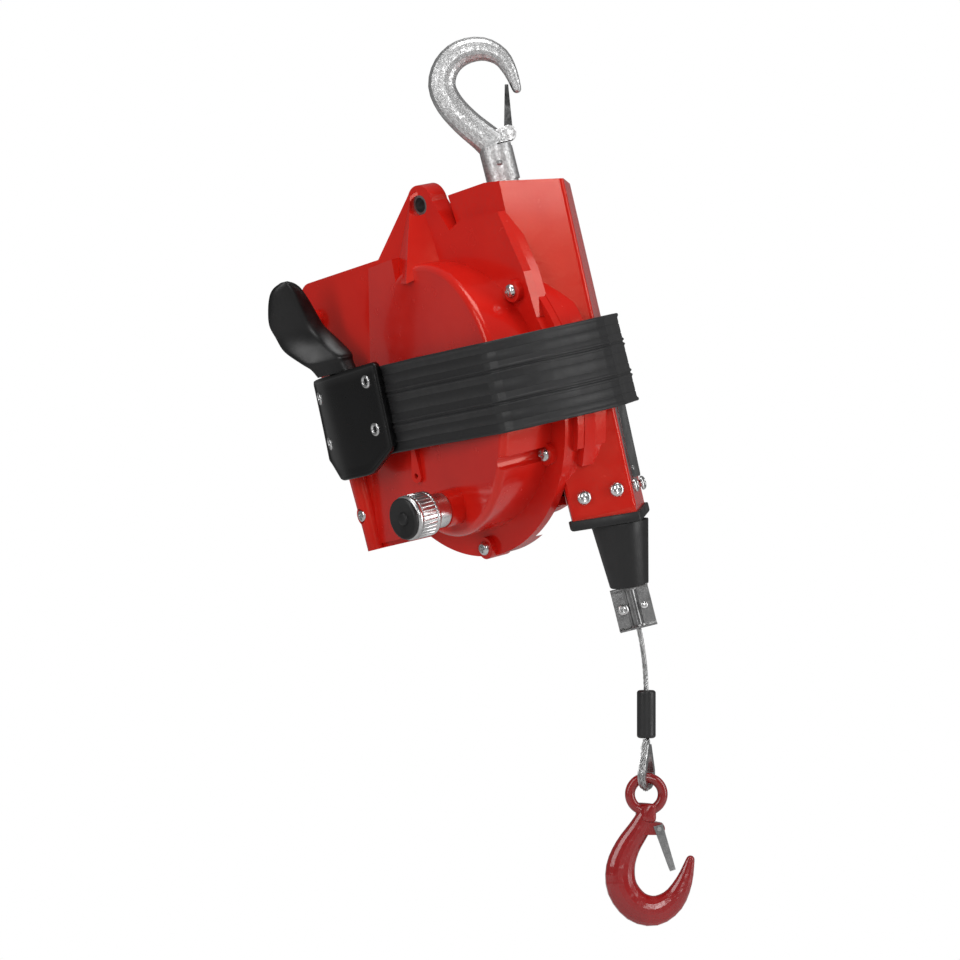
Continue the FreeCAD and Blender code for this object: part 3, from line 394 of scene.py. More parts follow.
# ------------------------------------------------------------------ making pieces
class Shape:
    """Gathers points and faces of one piece."""

    def __init__(self):
        self.points, self.faces = [], []

    def add(self, points, faces, place=Matrix.Identity(4)):
        start = len(self.points)
        self.points += [place @ Vector(p) for p in points]
        self.faces += [[start + i for i in face] for face in faces]
        return self

    def rings(self, rings, place=Matrix.Identity(4), loop=False, caps=True):
        """Skins rows of points that all have one length; loop joins the last row to the first."""
        count, rows = len(rings[0]), len(rings)
        faces = []
        for i in range(rows if loop else rows - 1):
            a, c = i * count, ((i + 1) % rows) * count
            faces += [[a + k, a + (k + 1) % count, c + (k + 1) % count, c + k] for k in range(count)]
        if caps and not loop:
            faces += [list(range(count))[::-1], [(rows - 1) * count + k for k in range(count)]]
        return self.add([p for ring in rings for p in ring], faces, place)

    def turned(self, profile, place, steps=48, ruffle=None, closed=False):
        """Turns (radius, height) points about the place's Z; ruffle changes a radius by angle."""
        rings = []
        for r, h in profile:
            ring = []
            for k in range(steps):
                a = 2 * math.pi * k / steps
                q = ruffle(r, h, a) if ruffle else r
                ring.append(Vector((q * math.cos(a), q * math.sin(a), h)))
            rings.append(ring)
        return self.rings(rings, place, loop=closed, caps=not closed)


def piece(name, shape, body, slot, stands_for=(), place=HUNG, sharp=32, smooth_levels=0):
    mesh = bpy.data.meshes.new(name)
    mesh.from_pydata(shape.points, [], shape.faces)
    mesh.transform(place)
    work = bmesh.new()
    work.from_mesh(mesh)
    bmesh.ops.remove_doubles(work, verts=work.verts, dist=1e-7)
    bmesh.ops.recalc_face_normals(work, faces=work.faces)
    work.to_mesh(mesh)
    work.free()
    mesh.shade_smooth()
    mesh.set_sharp_from_angle(angle=math.radians(sharp))
    mesh.materials.append(FINISHES[slot])
    obj = bpy.data.objects.new(name, mesh)
    bpy.context.scene.collection.objects.link(obj)
    if smooth_levels:
        soft = obj.modifiers.new("rounding", "SUBSURF")
        soft.levels = soft.render_levels = smooth_levels
    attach(obj, body)
    if stands_for:
        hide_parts(*stands_for)
    return obj


def smooth_line(points, steps=14):
    """Catmull-Rom points through a few given ones."""
    line = []
    for i in range(len(points) - 1):
        p0, p1 = points[max(i - 1, 0)], points[i]
        p2, p3 = points[i + 1], points[min(i + 2, len(points) - 1)]
        for k in range(steps):
            t = k / steps
            line.append(0.5 * ((2 * p1) + (p2 - p0) * t + (2 * p0 - 5 * p1 + 4 * p2 - p3) * t ** 2
                               + (3 * p1 - p0 - 3 * p2 + p3) * t ** 3))
    return line + [points[-1]]


def carried_frames(line, side):
    """Frames along a line that don't twist: (point, side, other side)."""
    frames = []
    for i, point in enumerate(line):
        along = (line[min(i + 1, len(line) - 1)] - line[max(i - 1, 0)]).normalized()
        side = (side - along * side.dot(along)).normalized()
        frames.append((point, side, along.cross(side)))
    return frames


# ------------------------------------------------------------------ castings
SHARP = 28              # bends over this many degrees stay crisp on the castings
SCREWS = [(95.7, 63.1), (87.2, -67.3), (-13.8, -129.0), (-160, -80), (-163, 88)]


def coat_nodes():
    """Every CAD node gets its finish and its soft shading; its shape stays."""
    slots = {s["node"]: s["material_slot"] for s in frame["record"]["subparts"]}
    for name, node in NODES.items():
        node.data.materials.clear()
        node.data.materials.append(FINISHES[slots[name]])
        node.data.shade_smooth()
        node.data.set_sharp_from_angle(angle=math.radians(SHARP))
    NODES["top_latch"].data.materials[0] = FINISHES["latch_dark"]


def fit_front_casting():
    """A copy of the front half with broken edges."""
    break_edges(recut("front_casting", "front_housing", [], "housing"), 1.3)


def prism(outline, low, high, place=HUNG):
    """A solid between two levels; each level is a height or a function of (x, y)."""
    shape = Shape()
    rows = [[Vector((x, y, level(x, y) if callable(level) else level)) for x, y in outline]
            for level in (low, high)]
    return shape.rings(rows, place)


def recut(name, node, cutters, body):
    """A copy of a casting that stands for its node, planed by each cutter given."""
    made = bpy.data.objects.new(name, NODES[node].data.copy())
    bpy.context.scene.collection.objects.link(made)
    tools = []
    for shape in cutters:
        mesh = bpy.data.meshes.new("tool")
        mesh.from_pydata(shape.points, [], shape.faces)
        work = bmesh.new()
        work.from_mesh(mesh)
        bmesh.ops.recalc_face_normals(work, faces=work.faces)
        work.to_mesh(mesh)
        work.free()
        tool = bpy.data.objects.new("tool", mesh)
        bpy.context.scene.collection.objects.link(tool)
        cut = made.modifiers.new("planed", "BOOLEAN")
        cut.object, cut.operation, cut.solver = tool, "DIFFERENCE", "EXACT"
        tools.append(tool)
    bpy.context.view_layer.update()
    planed = bpy.data.meshes.new_from_object(made.evaluated_get(bpy.context.evaluated_depsgraph_get()))
    made.modifiers.clear()
    made.data = planed
    for tool in tools:
        bpy.data.objects.remove(tool)
    planed.shade_smooth()
    planed.set_sharp_from_angle(angle=math.radians(SHARP))
    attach(made, body)
    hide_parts(node)
    return made


def head_plane(x, y):
    """Height of the tower's sloping head; it meets TOWER_TOP_Z at its near corner."""
    return TOWER_TOP_Z - HEAD_FALL_X * (x - 6.2) - HEAD_FALL_Y * (y + 50.2)


def break_edges(obj, width):
    """A worked copy's edges broken, its flat faces kept flat."""
    flat = obj.modifiers.new("even faces", "DECIMATE")
    flat.decimate_type, flat.angle_limit = "DISSOLVE", math.radians(0.5)
    edge = obj.modifiers.new("broken edges", "BEVEL")
    edge.width, edge.segments, edge.limit_method = width * MM, 3, "ANGLE"
    edge.angle_limit, edge.harden_normals = math.radians(SHARP), True
    edge.use_clamp_overlap = True
    even = obj.modifiers.new("even sheen", "WEIGHTED_NORMAL")
    even.keep_sharp, even.weight = True, 90


def fit_rear_casting():
    """The rear half, its tower planed at the head, the far face and the foot, and its swell."""
    head = prism([(-56, -60), (62, -60), (62, 60), (-56, 60)], head_plane, TOWER_TOP_Z + 40)
    over = 5
    rims = ((TOWER_FOOT_Z - over, [(31.9, 0.2), (40.9, 30), (10, 80), (-3.5, 41.3), (-3.5, 41.2)]),
            (TOWER_TOP_Z + over, [(42.8, 0.2), (51.8, 30), (10, 80), (-7.6, 50.4), (-7.6, 50.3)]))
    far = Shape().rings([[Vector((x, y, z)) for x, y in rim] for z, rim in rims], HUNG)
    side = prism([(1.9, -41.3), (-2, -60), (-60, -60), (-60, 8.8)], TOWER_FOOT_Z - over, DRUM.z - 44)
    body = recut("rear_casting", "rear_housing", [head, far, side], "housing")
    break_edges(body, 1.6)
    start, sweep, steps = -34, 78, 28
    section = [(90, -33), (134, -33), (133.6, -22), (132, -12), (128.5, -3), (122, 5), (112, 12), (90, 18)]
    rings = []
    for k in range(steps + 1):
        a = math.radians(start + sweep * k / steps)
        rings.append([at_drum(RING_X + r * math.cos(a), y, RING_Z + r * math.sin(a)) for r, y in section])
    piece("rear_swell", Shape().rings(rings), "housing", "housing_paint", sharp=50)


def pan_head(shape, place, radius, height):
    """A pan head with a cross recess."""
    steps, rounds = 64, 18
    round_steps = [2 * math.pi * k / steps for k in range(steps)]
    rings = [[Vector((radius * math.cos(a), radius * math.sin(a), 0)) for a in round_steps]]
    slot_long, slot_wide = 0.56 * radius, 0.13 * radius
    for i in range(rounds):
        share = 1 - i / (rounds - 0.5)
        r = radius * math.sin(share * math.pi / 2) ** 0.8
        ring = []
        for a in round_steps:
            u, v = abs(r * math.cos(a)), abs(r * math.sin(a))
            h = height * (1 - (r / (radius * 1.02)) ** 4) ** 0.5 if r < radius else 0.3 * height
            long, short = max(u, v), min(u, v)
            if long < slot_long and short < slot_wide + 0.12 * max(0, 0.3 * radius - long):
                h -= 0.55 * height * (1 - 0.5 * long / slot_long)
            ring.append(Vector((r * math.cos(a), r * math.sin(a), max(h, 0.05))))
        rings.append(ring)
    shape.rings(rings, place)
    neck = radius * 0.52
    shape.turned([(neck, -2), (neck, 0.1)], place, 24)


PROW_FOOT = Vector((31.9, 0, TOWER_FOOT_Z))     # the prow's edge at the tower's foot
PROW_BACK, PROW_HALF = 30, 41.3                 # run and half width of its slanted faces
PROW_FACE = 51.05                               # length of one face along the foot


def prow_face(side):
    """Directions along and square to one of the two slanted faces of the tower's foot."""
    along = Vector((-PROW_BACK, side * PROW_HALF, 0)).normalized()
    return along, Vector((PROW_HALF, side * PROW_BACK, 0)).normalized()


def fit_screws():
    """Pan heads on the flange's bosses and on the tower's foot."""
    head_r, boss_high = 5.6, 5
    heads = Shape()
    for x, z in SCREWS:
        pan_head(heads, frame_at(at_drum(x, FLANGE_FRONT - boss_high, z), -Y), head_r, 3.6)
    piece("housing_screw_heads", heads, "housing", "screw_steel", ["housing_screws"], sharp=50)
    feet = Shape()
    for side in (-1, 1):
        along, out = prow_face(side)
        for share in (0.22, 0.74):
            spot = PROW_FOOT + along * (PROW_FACE * share) + out * 0.9 + Z * 16
            pan_head(feet, frame_at(spot, out), head_r, 3.0)
    piece("outlet_screw_heads", feet, "housing", "screw_steel", ["outlet_screws"], sharp=50)


def foot_plane(x, y):
    """The tower's foot, a little lower at the prow."""
    return TOWER_FOOT_Z - 4.6 * max(0.0, (x - 1.9) / PROW_BACK)


def fit_outlet():
    """Foot wedge of the tower, black outlet cap with its lip, and the rubber cone."""
    rim = [(-27, -18), (1.9, -41.2), (31.8, 0), (-3.4, 41.2), (-27, 27)]
    wedge = prism(rim, foot_plane, TOWER_FOOT_Z + 0.5, Matrix.Identity(4))
    piece("tower_foot", wedge, "housing", "housing_paint")
    cap, rows = Shape(), []
    for grow, drop in ((1.0, 0.02), (2.3, 0.3), (2.6, 1.2), (2.6, 6.4), (2.0, 7.6), (0.6, 8.0)):
        row = []
        for k, (x, y) in enumerate(rim):
            here, before = Vector((x, y, 0)), Vector((*rim[k - 1], 0))
            after = Vector((*rim[(k + 1) % len(rim)], 0))
            for t in (0, 0.5, 1):
                way = ((here - before).normalized() * (1 - t) + (after - here).normalized() * t).normalized()
                out = Vector((way.y, -way.x, 0))
                row.append(here + out * grow + Z * (foot_plane(x, y) - drop))
        rows.append(row)
    cap.rings(rows)
    piece("outlet_plate", cap, "housing", "cap_black", ["outlet_cap"], sharp=40)
    start = Vector((6.5, 2, TOWER_FOOT_Z - CAP_DEPTH - 2))
    end = Vector((1.0, 0.5, TOWER_FOOT_Z - CAP_DEPTH - CONE_LENGTH))
    along = start - end
    bore = 3.4
    profile = [(bore, -0.2), (14.4, 0), (15.2, 0.5), (15.6, 1.6), (22.3, 47.0), (22.8, 50.0),
               (22.8, along.length), (bore, along.length)]
    cone = Shape().turned(profile, HUNG @ frame_at(end, along), 72, closed=True)
    piece("rubber_cone", cone, "housing", "buffer_rubber", ["rubber_buffer"], Matrix.Identity(4))


def fit_bare_plate():
    """A bare plate on the far prow face, held by two drive rivets."""
    along, out = prow_face(1)
    rise = (Vector((42.6, 0, 276)) - Vector((31.9, 0, 0))).normalized()
    out = along.cross(rise).normalized()
    out = out if out.x > 0 else -out
    base = Matrix((along, out.cross(along), out)).transposed().to_4x4()
    base.translation = PROW_FOOT + along * 25 + rise * 76 + out * 0.1
    half_wide, half_high, corner = 12.5, 52, 2
    rim = []
    for sx, sz, turn in ((1, 1, 0), (-1, 1, 1), (-1, -1, 2), (1, -1, 3)):
        for k in range(5):
            a = math.pi / 2 * (turn + k / 4)
            x, z = sx * half_wide + corner * math.cos(a), sz * half_high + corner * math.sin(a)
            rim.append(Vector((x, z, 0)))
    rings = [rim, [p + Z * 0.7 for p in rim], [p * 0.985 + Z * 0.9 for p in rim]]
    plate = Shape().rings(rings, base)
    piece("bare_plate", plate, "housing", "zinc_plate")
    rivets = Shape()
    for z in (46, -46):
        rivets.turned([(1.9, 0.4), (2.0, 1.2), (1.6, 1.9), (0.9, 2.2), (0.05, 2.3)],
                      base @ Matrix.Translation((-8, z, 0)), 20)
    piece("bare_plate_rivets", rivets, "housing", "screw_steel")


def fit_top_seal():
    """The dust plate under the neck on top of the tower, wider to one side."""
    rim_r, near_r, lobe_r, lobe_x = 22, 17.0, 16, 14

    def oval(r, h, a):
        """The bore stays round; the rim is a circle joined to a lobe on one side."""
        if r < 15:
            return r
        lobe = lobe_x * math.cos(a) + math.sqrt(lobe_r ** 2 - (lobe_x * math.sin(a)) ** 2)
        return max(near_r, lobe) + r - rim_r

    lean = Z.rotation_difference(Vector((HEAD_FALL_X, HEAD_FALL_Y, 1))).to_matrix().to_4x4()
    seat = Vector((HOOK_BOWL.x, 0, head_plane(HOOK_BOWL.x, 0) - 0.4))
    profile = [(13.9, 0), (rim_r, 0), (22.4, 0.4), (rim_r, 1.5), (20.5, 1.9), (14.4, 1.9), (13.9, 1.6)]
    seal = Shape().turned(profile, Matrix.Translation(seat) @ lean @ HOOK_TURN, 96, oval, closed=True)
    piece("shank_seal", seal, "housing", "cap_black")


# ------------------------------------------------------------------ stop clamp
def fit_clamp():
    """Two pressed zinc halves round the rope, with folded lips, and their two screws."""
    half_high, screw_x = CLAMP_HIGH / 2, 8.5
    middle = HOOK_TURN @ Matrix.Translation((0, 0, CLAMP_FOOT + half_high))
    for name, side in (("clamp_front", 1), ("clamp_rear", -1)):
        rings = []
        for k in range(-30, 31):
            x = k / 2
            rib = 1.9 * math.sqrt(max(0.0, 1 - (x / 3.4) ** 2)) + 0.5 * max(0.0, 1 - abs(abs(x) - 4) / 1.2)
            out, inside = 5 + rib, 3.3 + rib
            upper = [(9, half_high), (9, 15.6), (out + 1.2, 15.4), (out, 14)]
            inner = [(inside, 15.6), (inside + 1.2, half_high)]
            loop = (upper + [(y, -z) for y, z in reversed(upper)]
                    + [(y, -z) for y, z in reversed(inner)] + inner)
            rings.append([Vector((x, -side * y, z)) for y, z in loop])
        piece("pressed_" + name, Shape().rings(rings, middle), "line", "zinc_plate", [name], sharp=35)
    screws = Shape()
    pan_head(screws, middle @ frame_at(Vector((-screw_x, -5, 0)), -Y), 4.6, 2.8)
    screws.turned([(3.0, -1), (3.0, 0.8), (2.6, 1.5), (1.6, 1.9), (0.05, 2.0)],
                  middle @ frame_at(Vector((screw_x, -5, 0)), -Y), 28)
    for x in (-screw_x, screw_x):
        screws.turned([(2.4, -9), (2.4, 1)], middle @ frame_at(Vector((x, 4, 0)), Y), 20)
        screws.turned([(4.6, 0), (4.6, 2.4), (4.0, 3.0), (0.05, 3.0)],
                      middle @ frame_at(Vector((x, 5, 0)), Y), 6)
    piece("clamp_fasteners", screws, "line", "screw_steel", ["clamp_screws"], sharp=40)


# ------------------------------------------------------------------ drum lock
def fit_lock():
    """Indexing plunger: plain sleeve, fluted ring, black cap with its middle button."""
    flutes, flute_deep, ring_r = 34, 0.75, 18

    def fluted(r, h, a):
        if not 3 < h < 17 or r < 15:
            return r
        wave = (a * flutes / (2 * math.pi)) % 1
        return r - flute_deep * max(0.0, math.cos((wave - 0.5) * 2 * math.pi)) ** 0.7

    def ahead(steps):
        """A place on the knob's axis, so far in front of the boss."""
        return frame_at(at_drum(0, FLANGE_FRONT - 50 - steps, -90), -Y)

    ring = [(14.4, -2), (16.6, -1.6), (17.6, -0.6), (17.9, 0.6), (17.9, 2.6), (17.4, 3.2), (ring_r, 3.6),
            (ring_r, 16.6), (17.4, 17.2), (17.9, 17.8), (17.9, 20.4), (17.2, 21.4), (15.9, 21.8),
            (15.9, 20), (14.4, 20)]
    piece("knob_ring", Shape().turned(ring, ahead(15), flutes * 8, fluted, closed=True),
          "lock", "knob_steel", ["lock_knob"], sharp=40)
    face = [(15.7, -0.4), (16.6, 0.2), (16.8, 1.6), (16.4, 2.6), (15.4, 3.1), (14.2, 2.7), (6.2, 2.5),
            (5.4, 2.2), (5.2, 2.5), (4.7, 3.5), (3.8, 3.9), (0.05, 4.0)]
    piece("knob_face", Shape().turned(face, ahead(37), 72), "lock", "cap_black", ["knob_cap"])
    stem = Shape().turned([(7.9, -20), (7.9, 20)], ahead(4), 32)
    stem.turned([(4.9, -40), (4.9, 0)], ahead(-20), 32)
    piece("knob_stem", stem, "lock", "pin_steel")
    sleeve = [(8.1, 0), (13.4, 0), (14, 0.6), (14, 12.6), (13.4, 13.4), (8.1, 13.4)]
    piece("knob_sleeve", Shape().turned(sleeve, ahead(0.1), 64, closed=True),
          "housing", "knob_steel", ["lock_sleeve"])


# ------------------------------------------------------------------ bumper band, plate, grip
# the strip's inside seen from above, from the drum's axis: near side, tower end, far side
BAND_CORNERS = [(-177.1, -48.0), (-60.0, -70.8), (0.0, -82.4), (35.0, -88.9), (62.0, -93.4), (82.0, -96.2),
                (94.0, -97.5), (101.0, -97.8), (106.0, -96.9), (110.6, -94.4), (114.8, -89.8), (118.8, -82.0),
                (122.4, -71.5), (125.2, -60.0), (127.0, -47.0), (127.4, -33.0), (126.8, -19.0), (125.0, -6.5),
                (121.0, 4.5),
                (90.1, 46.0), (87.8, 46.6), (-90.0, 40.4), (-171.2, 6.0), (-177.1, -32.0)]
BAND_PLAY = 0.4         # air between the strip and that line
BAND_DROP = 9.0         # how far the tower end hangs below the other


def band_stations():
    """Points round the body, each with the way the strip faces there."""
    bend, stride = 0.12, 12
    stations = []
    corners = [at_drum(x, y, 0) for x, y in BAND_CORNERS]
    count = len(corners)
    for i, corner in enumerate(corners):
        following = corners[(i + 1) % count]
        before = (corner - corners[i - 1]).normalized()
        after = (following - corner).normalized()
        start, end = math.atan2(-before.x, before.y), math.atan2(-after.x, after.y)
        while end < start:
            end += 2 * math.pi
        bends = max(1, round((end - start) / bend))
        for k in range(bends + 1):
            a = start + (end - start) * k / bends
            stations.append((corner, Vector((-math.cos(a), -math.sin(a), 0))))
        reach = (following - corner).length
        strides = int(reach / stride)
        out = stations[-1][1]
        stations += [(corner + after * (reach * k / strides), out) for k in range(1, strides)]
    return [(spot, -out if out.dot(spot - DRUM) < 0 else out) for spot, out in stations]


def fit_band():
    """A moulded strip stretched round the body: beads at both rims, two double ridges."""
    # height from the middle and depth: rim bead, groove, groove, double ridge, groove
    half = [(36, 0.2), (36, 5.2), (35.6, 5.9), (34.8, 6.2), (33.8, 6.0), (33.0, 5.3), (31.8, 5.0),
            (28.2, 5.0), (27.9, 4.6), (27.5, 4.6), (27.2, 5.0),
            (20.4, 5.0), (20.1, 4.7), (19.8, 4.7), (19.5, 5.0),
            (16.4, 5.0), (15.7, 5.3), (15.0, 6.0), (14.2, 6.0), (13.6, 5.2), (13.1, 4.7),
            (12.3, 4.7), (11.8, 5.2), (11.2, 6.0), (10.4, 6.0), (9.7, 5.3), (9.0, 5.0),
            (5.2, 5.0), (4.9, 4.7), (4.5, 4.7), (4.2, 5.0), (0, 5.0)]
    profile = half + [(-z, d) for z, d in half[-2::-1]]
    rings = []
    for spot, out in band_stations():
        wave = 0.35 * noise.noise(spot * 0.02)
        fall = BAND_DROP * max(0.0, (spot.x - DRUM.x + 100) / 226) ** 1.2
        rings.append([spot + out * (BAND_PLAY + d) + Z * (z + wave - fall) for z, d in profile])
    band = Shape().rings(rings, loop=True)
    piece("band_strip", band, "housing", "band_rubber", ["bumper_band"], sharp=60)


# the clamp plate seen from above, from the drum's axis
PLATE_BEND = [(-184, -57.5), (-176, -60.5), (-166, -65.5), (-152, -72.5), (-138, -77.8), (-124, -80.0),
              (-104, -81.2), (-80, -82.2), (-55, -82.9)]


def plate_face(x):
    """The bent plate's outside at x, and the way it faces."""
    line = smooth_line([Vector((u, v, 0)) for u, v in PLATE_BEND], 6)
    for a, c in zip(line, line[1:]):
        if x <= c.x:
            share = (x - a.x) / (c.x - a.x)
            return a.y + (c.y - a.y) * share, Vector((c.y - a.y, a.x - c.x, 0)).normalized()
    return line[-1].y, -Y


def closed_sheet(front, back, tall):
    """Faces of a sheet from its two sides, given column by column, tall points each."""
    start, wide, faces = len(front), len(front) // tall, []
    for i in range(wide - 1):
        for k in range(tall - 1):
            a = i * tall + k
            faces.append([a, a + tall, a + tall + 1, a + 1])
            faces.append([start + a, start + a + 1, start + a + tall + 1, start + a + tall])
        for a in (i * tall, i * tall + tall - 1):
            faces.append([a, a + tall, start + a + tall, start + a])
    for k in range(tall - 1):
        for a in (k, (wide - 1) * tall + k):
            faces.append([a, a + 1, start + a + 1, start + a])
    return Shape().add(front + back, faces)


def fit_plate():
    """The black clamp plate: a soft upright ridge, a raised rim, cut lower corners."""
    wide, high, top = 112, 80, 39.2
    thick, corner, edge, rim_wide, sunk = 4.9, 5, 0.8, 2.6, 0.75
    near = [0, 0.35, edge, 1.5, rim_wide, 3.2, 4.0]
    cut = [(0, -28), (0.03, -30.5), (0.25, -46.5), (0.30, -48), (0.66, -49), (0.72, -48), (0.97, -34),
           (1, -31)]

    def steps(length, count):
        """Shares of a length, close together near both its ends."""
        inner = [near[-1] + (length - 2 * near[-1]) * k / count for k in range(1, count)]
        return [d / length for d in near + inner + [length - d for d in reversed(near)]]

    def bottom(t):
        for (t0, z0), (t1, z1) in zip(cut, cut[1:]):
            if t <= t1:
                return z0 + (z1 - z0) * (t - t0) / (t1 - t0)
        return cut[-1][1]

    columns, rows = steps(wide, 26), steps(high, 14)
    front, back = [], []
    for t in columns:
        round_off = 3.5 * max(0.0, 1 - min(t, 1 - t) * wide / corner) ** 2
        for h in rows:
            z = bottom(t) + (top - round_off - bottom(t)) * h
            lean = (z + 30) / 69
            x = (-181 + 11.5 * lean) * (1 - t) + (-61.5 + 4.0 * lean) * t
            inset = min(t * wide, (1 - t) * wide, h * high, (1 - h) * high)
            if inset < edge:
                rise = -1.1 * (1 - inset / edge) ** 2
            else:
                rise = -sunk * min(1.0, max(0.0, (inset - rim_wide) / 1.4))
            y, out = plate_face(x)
            face = at_drum(x, y, z)
            front.append(face + out * rise)
            back.append(face - out * (thick - 0.3 * (inset < 0.3)))
    plate = closed_sheet(front, back, len(rows))
    piece("bent_plate", plate, "housing", "plate_black", ["clamp_plate"], sharp=50)


def fit_rivets():
    """Hollow rivets with a rolled rim on both halves of the clamp plate."""
    profile = [(2.4, -4.2), (2.6, -0.4), (3.0, 0.7), (3.9, 1.2), (5.1, 0.8), (5.7, 0.0), (5.6, -0.6),
               (2.9, -0.8), (2.9, -4.2)]
    sunk = Matrix.Translation((0, 0, -0.4))
    rivets = Shape()
    for x, z in ((-76, 25.5), (-79, -14), (-160.5, 23.5), (-164.5, -15)):
        y, out = plate_face(x)
        rivets.turned(profile, frame_at(at_drum(x, y, z), out) @ sunk, 40, closed=True)
    piece("hollow_rivets", rivets, "housing", "nickel", ["grip_rivets"], sharp=60)


# x, y and height of each section from the drum's axis, then its width and thickness
GRIP_SECTIONS = [(-117.8, -76, 39.2, 33, 9), (-119.9, -77.5, 47, 36, 11), (-122.6, -79, 53, 42, 13),
                 (-135, -82, 67, 46, 15), (-140.1, -86, 80, 42, 15), (-140.1, -90, 91.4, 41, 14),
                 (-137.3, -93, 104, 35, 13), (-134.7, -95, 114.3, 27, 11), (-133.1, -96, 119.5, 18, 9),
                 (-131, -96.5, 122.4, 6, 5)]


def fit_grip():
    """The spoon-shaped grip, with a ridge off its middle line."""
    across, through = Vector((-1, -1, 0)).normalized(), Vector((1, -1, 0)).normalized()
    centres = smooth_line([at_drum(x, y, z) for x, y, z, _, _ in GRIP_SECTIONS], 5)
    sizes = smooth_line([Vector((w, t, 0)) for _, _, _, w, t in GRIP_SECTIONS], 5)
    rings = []
    for centre, size in zip(centres, sizes):
        ring = []
        for k in range(40):
            a = 2 * math.pi * k / 40
            u, v = math.cos(a), math.sin(a)
            crest = max(0.0, 1 - abs(u + 0.5) / (0.5 if u < -0.5 else 1.5)) if v > 0 else 0.0
            ring.append(centre + across * (u * size.x / 2)
                        + through * (v * size.y / 2 * 0.62 + size.y * 0.3 * crest))
        rings.append(ring)
    piece("grip_moulding", Shape().rings(rings), "housing", "grip_black", ["grip_paddle"], sharp=48)


# ------------------------------------------------------------------ hooks
def fit_hook_neck():
    """A collar where the load hook's ring runs into its shank."""
    # the collar lies almost along X, about 50 degrees out of the hook's own plane
    turn = math.radians(VIEW_TURN)
    wide = Vector((math.cos(turn), math.sin(turn), 0))
    thick = Vector((-math.sin(turn), math.cos(turn), 0))
    half_turn = 24
    rings = []
    for z, w, t in ((-590.4, 21, 5.5), (-592.0, 22.4, 8.4), (-594.5, 22.0, 10.4), (-597.5, 20.8, 11.4),
                    (-600.5, 20.6, 11.8), (-603.2, 20.8, 11.4), (-605.6, 20.0, 9.0)):
        centre = Vector((99.7, 88.7, z))
        rings.append([centre + wide * (w / 2 * math.cos(a)) + thick * (t / 2 * math.sin(a))
                      for a in (math.pi * k / half_turn for k in range(2 * half_turn))])
    piece("hook_neck", Shape().rings(rings), "load_hook", "hook_paint", place=Matrix.Scale(MM, 4), sharp=60,
          smooth_levels=1)


def fit_neck_pin():
    """The domed ends of the pin across the suspension hook's neck."""
    profile = [(2.4, -1), (2.4, 0.7), (1.9, 1.3), (0.9, 1.6), (0.05, 1.7)]
    pin = Shape()
    for side in (-1, 1):
        end = X * HOOK_BOWL.x + OUTWARD * (side * 13.2) + Z * (TOWER_TOP_Z + 15)
        pin.turned(profile, frame_at(end, OUTWARD * side), 24)
    piece("neck_pin", pin, "suspension", "pin_steel")


# ------------------------------------------------------------------ rope
ROPE_IN = 0.010         # metres of the rope's end inside the sleeve
SLEEVE_LONG = 0.038     # metres


def rope_route():
    """From the clamp's foot straight on, then down into the sleeve."""
    leaves = HUNG @ Vector((0, 0, CLAMP_FOOT))
    corner = HUNG @ Vector((0, 0, CLAMP_FOOT - 25))
    return [leaves, corner, corner - Z * 0.025 - Z * ROPE_IN]


def curve_points(name, route):
    """Points along the NURBS line that a route's points steer."""
    line = bpy.data.curves.new(name, "CURVE")
    line.dimensions = "3D"
    spline = line.splines.new("NURBS")
    spline.points.add(len(route) - 1)
    for point, place in zip(spline.points, route):
        point.co = (*place, 1)
    spline.order_u = 3
    spline.use_endpoint_u = True
    spline.resolution_u = 24
    holder = bpy.data.objects.new(name, line)
    mesh = bpy.data.meshes.new_from_object(holder)
    points = [v.co.copy() for v in mesh.vertices]
    bpy.data.objects.remove(holder)
    bpy.data.curves.remove(line)
    bpy.data.meshes.remove(mesh)
    return points


def laid_rope(shape, line, side=X):
    """Six laid strands round a core, along a line in metres."""
    radius, lay = ROPE_R * MM, ROPE_LAY * MM
    corners = [2 * math.pi * k / 8 for k in range(8)]
    frames = carried_frames(line, side)
    walked = [0.0]
    for a, c in zip(line, line[1:]):
        walked.append(walked[-1] + (c - a).length)
    strand = radius * 0.36
    for s in range(6):
        rings = []
        for (point, one, two), way in zip(frames, walked):
            a = 2 * math.pi * (s / 6 + way / lay)
            out = one * math.cos(a) + two * math.sin(a)
            turn = two * math.cos(a) - one * math.sin(a)
            middle = point + out * (radius - strand)
            rings.append([middle + (out * math.cos(b) + turn * math.sin(b)) * strand for b in corners])
        shape.rings(rings)
    shape.rings([[point + (one * math.cos(b) + two * math.sin(b)) * radius * 0.5 for b in corners]
                 for point, one, two in frames])


def fine_line(points, step):
    """The same line cut into short even steps."""
    line = [points[0]]
    for a, c in zip(points, points[1:]):
        parts = max(1, round((c - a).length / step))
        line += [a.lerp(c, k / parts) for k in range(1, parts + 1)]
    return line


def fit_rope():
    """The rope between clamp and sleeve, its line and length, and what hangs on it."""
    line = fine_line(curve_points("free rope", rope_route()), 0.0007)
    rope = Shape()
    laid_rope(rope, line)
    cord = piece("free_rope", rope, "line", "rope_steel", ["wire_rope"], Matrix.Identity(4), sharp=70)
    length = sum((c - a).length for a, c in zip(line, line[1:]))
    held = [NODES[n] for n in ("rope_sleeve", "thimble", "load_hook", "load_latch", "load_latch_pin")]
    return cord, line, length, held


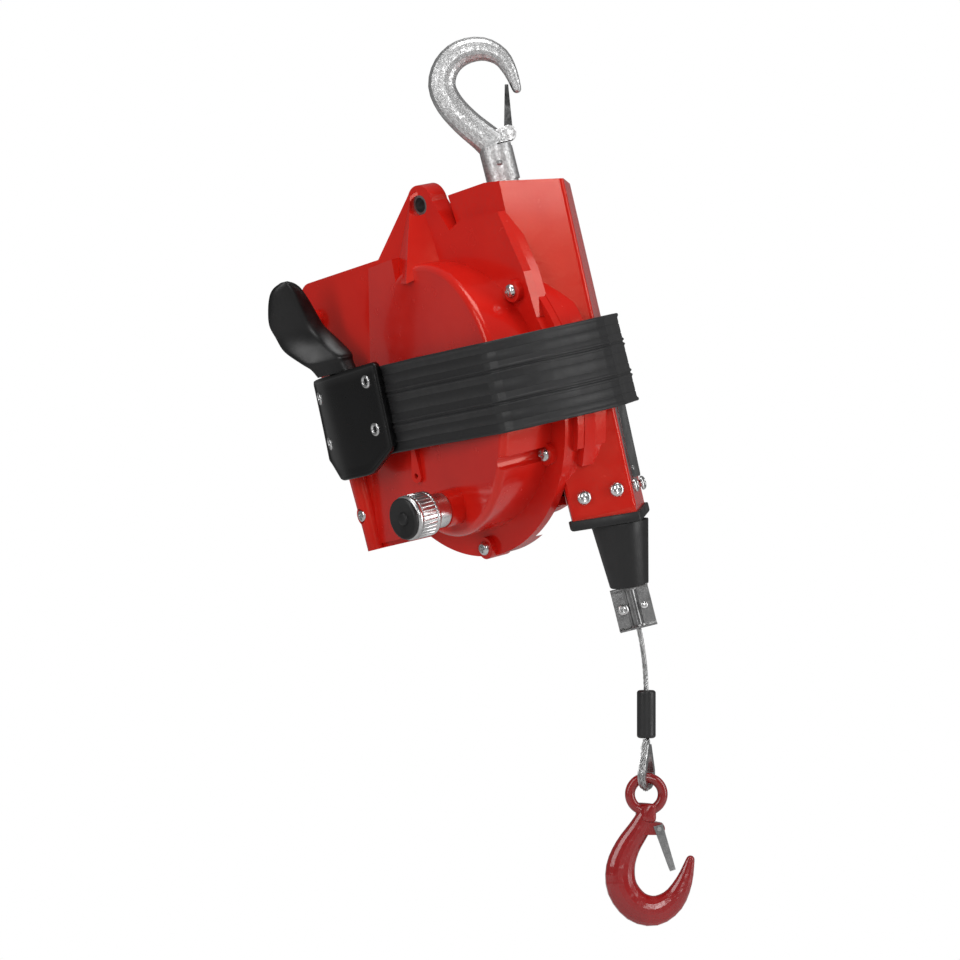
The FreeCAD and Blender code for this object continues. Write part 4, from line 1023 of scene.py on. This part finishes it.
def fit_rope_eye(eye_top):
    """The loop of rope laid round the thimble."""
    turn = Matrix.Rotation(VIEW_TURN + math.radians(68), 4, "Z")
    place = Matrix.Translation(eye_top) @ turn @ Matrix.Scale(MM, 4)
    radius, drop, inside, steps = 12.0, 37, 8.5, 40
    centre = -drop + inside
    top, half = -1.0, 2.3
    lean = math.asin((radius - half) / math.hypot(centre - top, half))
    loop = [Vector((half, 0, top))]
    for k in range(steps + 1):
        a = lean - (math.pi + 2 * lean) * k / steps
        loop.append(Vector((radius * math.cos(a), 0, centre + radius * math.sin(a))))
    loop.append(Vector((-half, 0, top)))
    rope = Shape()
    laid_rope(rope, [place @ p for p in fine_line(loop, 0.7)], side=(place.to_3x3() @ Y).normalized())
    return piece("eye_loop", rope, "line", "rope_steel", ["rope_eye"], Matrix.Identity(4), sharp=70)


def lay_floor():
    """Pale paper under the hanging balancer."""
    mesh = bpy.data.meshes.new("floor")
    low, half = cad_box[0].z - 0.12, 6
    corners = [(-half, -half, low), (half, -half, low), (half, half, low), (-half, half, low)]
    mesh.from_pydata(corners, [], [(0, 1, 2, 3)])
    floor = bpy.data.objects.new("floor", mesh)
    bpy.context.scene.collection.objects.link(floor)
    paper = bpy.data.materials.new("studio paper")
    paper.use_nodes = True
    b = Bench(paper.node_tree)
    shader = paper.node_tree.nodes["Principled BSDF"]
    spot = b.put("ShaderNodeTexCoord").outputs["Object"]
    b.join(b.span(b.noise(spot, 3.0), 0.3, 0.7, 0.80, 0.84), shader.inputs["Base Color"])
    shader.inputs["Roughness"].default_value = 0.9
    glow = b.put("ShaderNodeEmission")
    glow.inputs["Color"].default_value = (1, 1, 1, 1)
    mixed = b.put("ShaderNodeMixShader")
    seen = b.put("ShaderNodeLightPath")
    b.join(seen.outputs["Is Camera Ray"], mixed.inputs[0])
    b.join(shader.outputs[0], mixed.inputs[1])
    b.join(glow.outputs[0], mixed.inputs[2])
    out = [n for n in paper.node_tree.nodes if n.type == "OUTPUT_MATERIAL"][0]
    b.join(mixed.outputs[0], out.inputs["Surface"])
    mesh.materials.append(paper)


# ------------------------------------------------------------------ the balancer
set_camera()
light_the_studio()
FINISHES = mix_finishes()
lay_floor()
coat_nodes()
fit_front_casting()
free_rope, rope_line, rope_length, held_pieces = fit_rope()
sleeve_foot = rope_line[-1] - Z * (SLEEVE_LONG - ROPE_IN)
eye_loop = fit_rope_eye(sleeve_foot)
fit_rear_casting()
fit_outlet()
fit_screws()
fit_bare_plate()
fit_top_seal()
fit_clamp()
fit_lock()
fit_band()
fit_plate()
fit_rivets()
fit_grip()
fit_hook_neck()
fit_neck_pin()
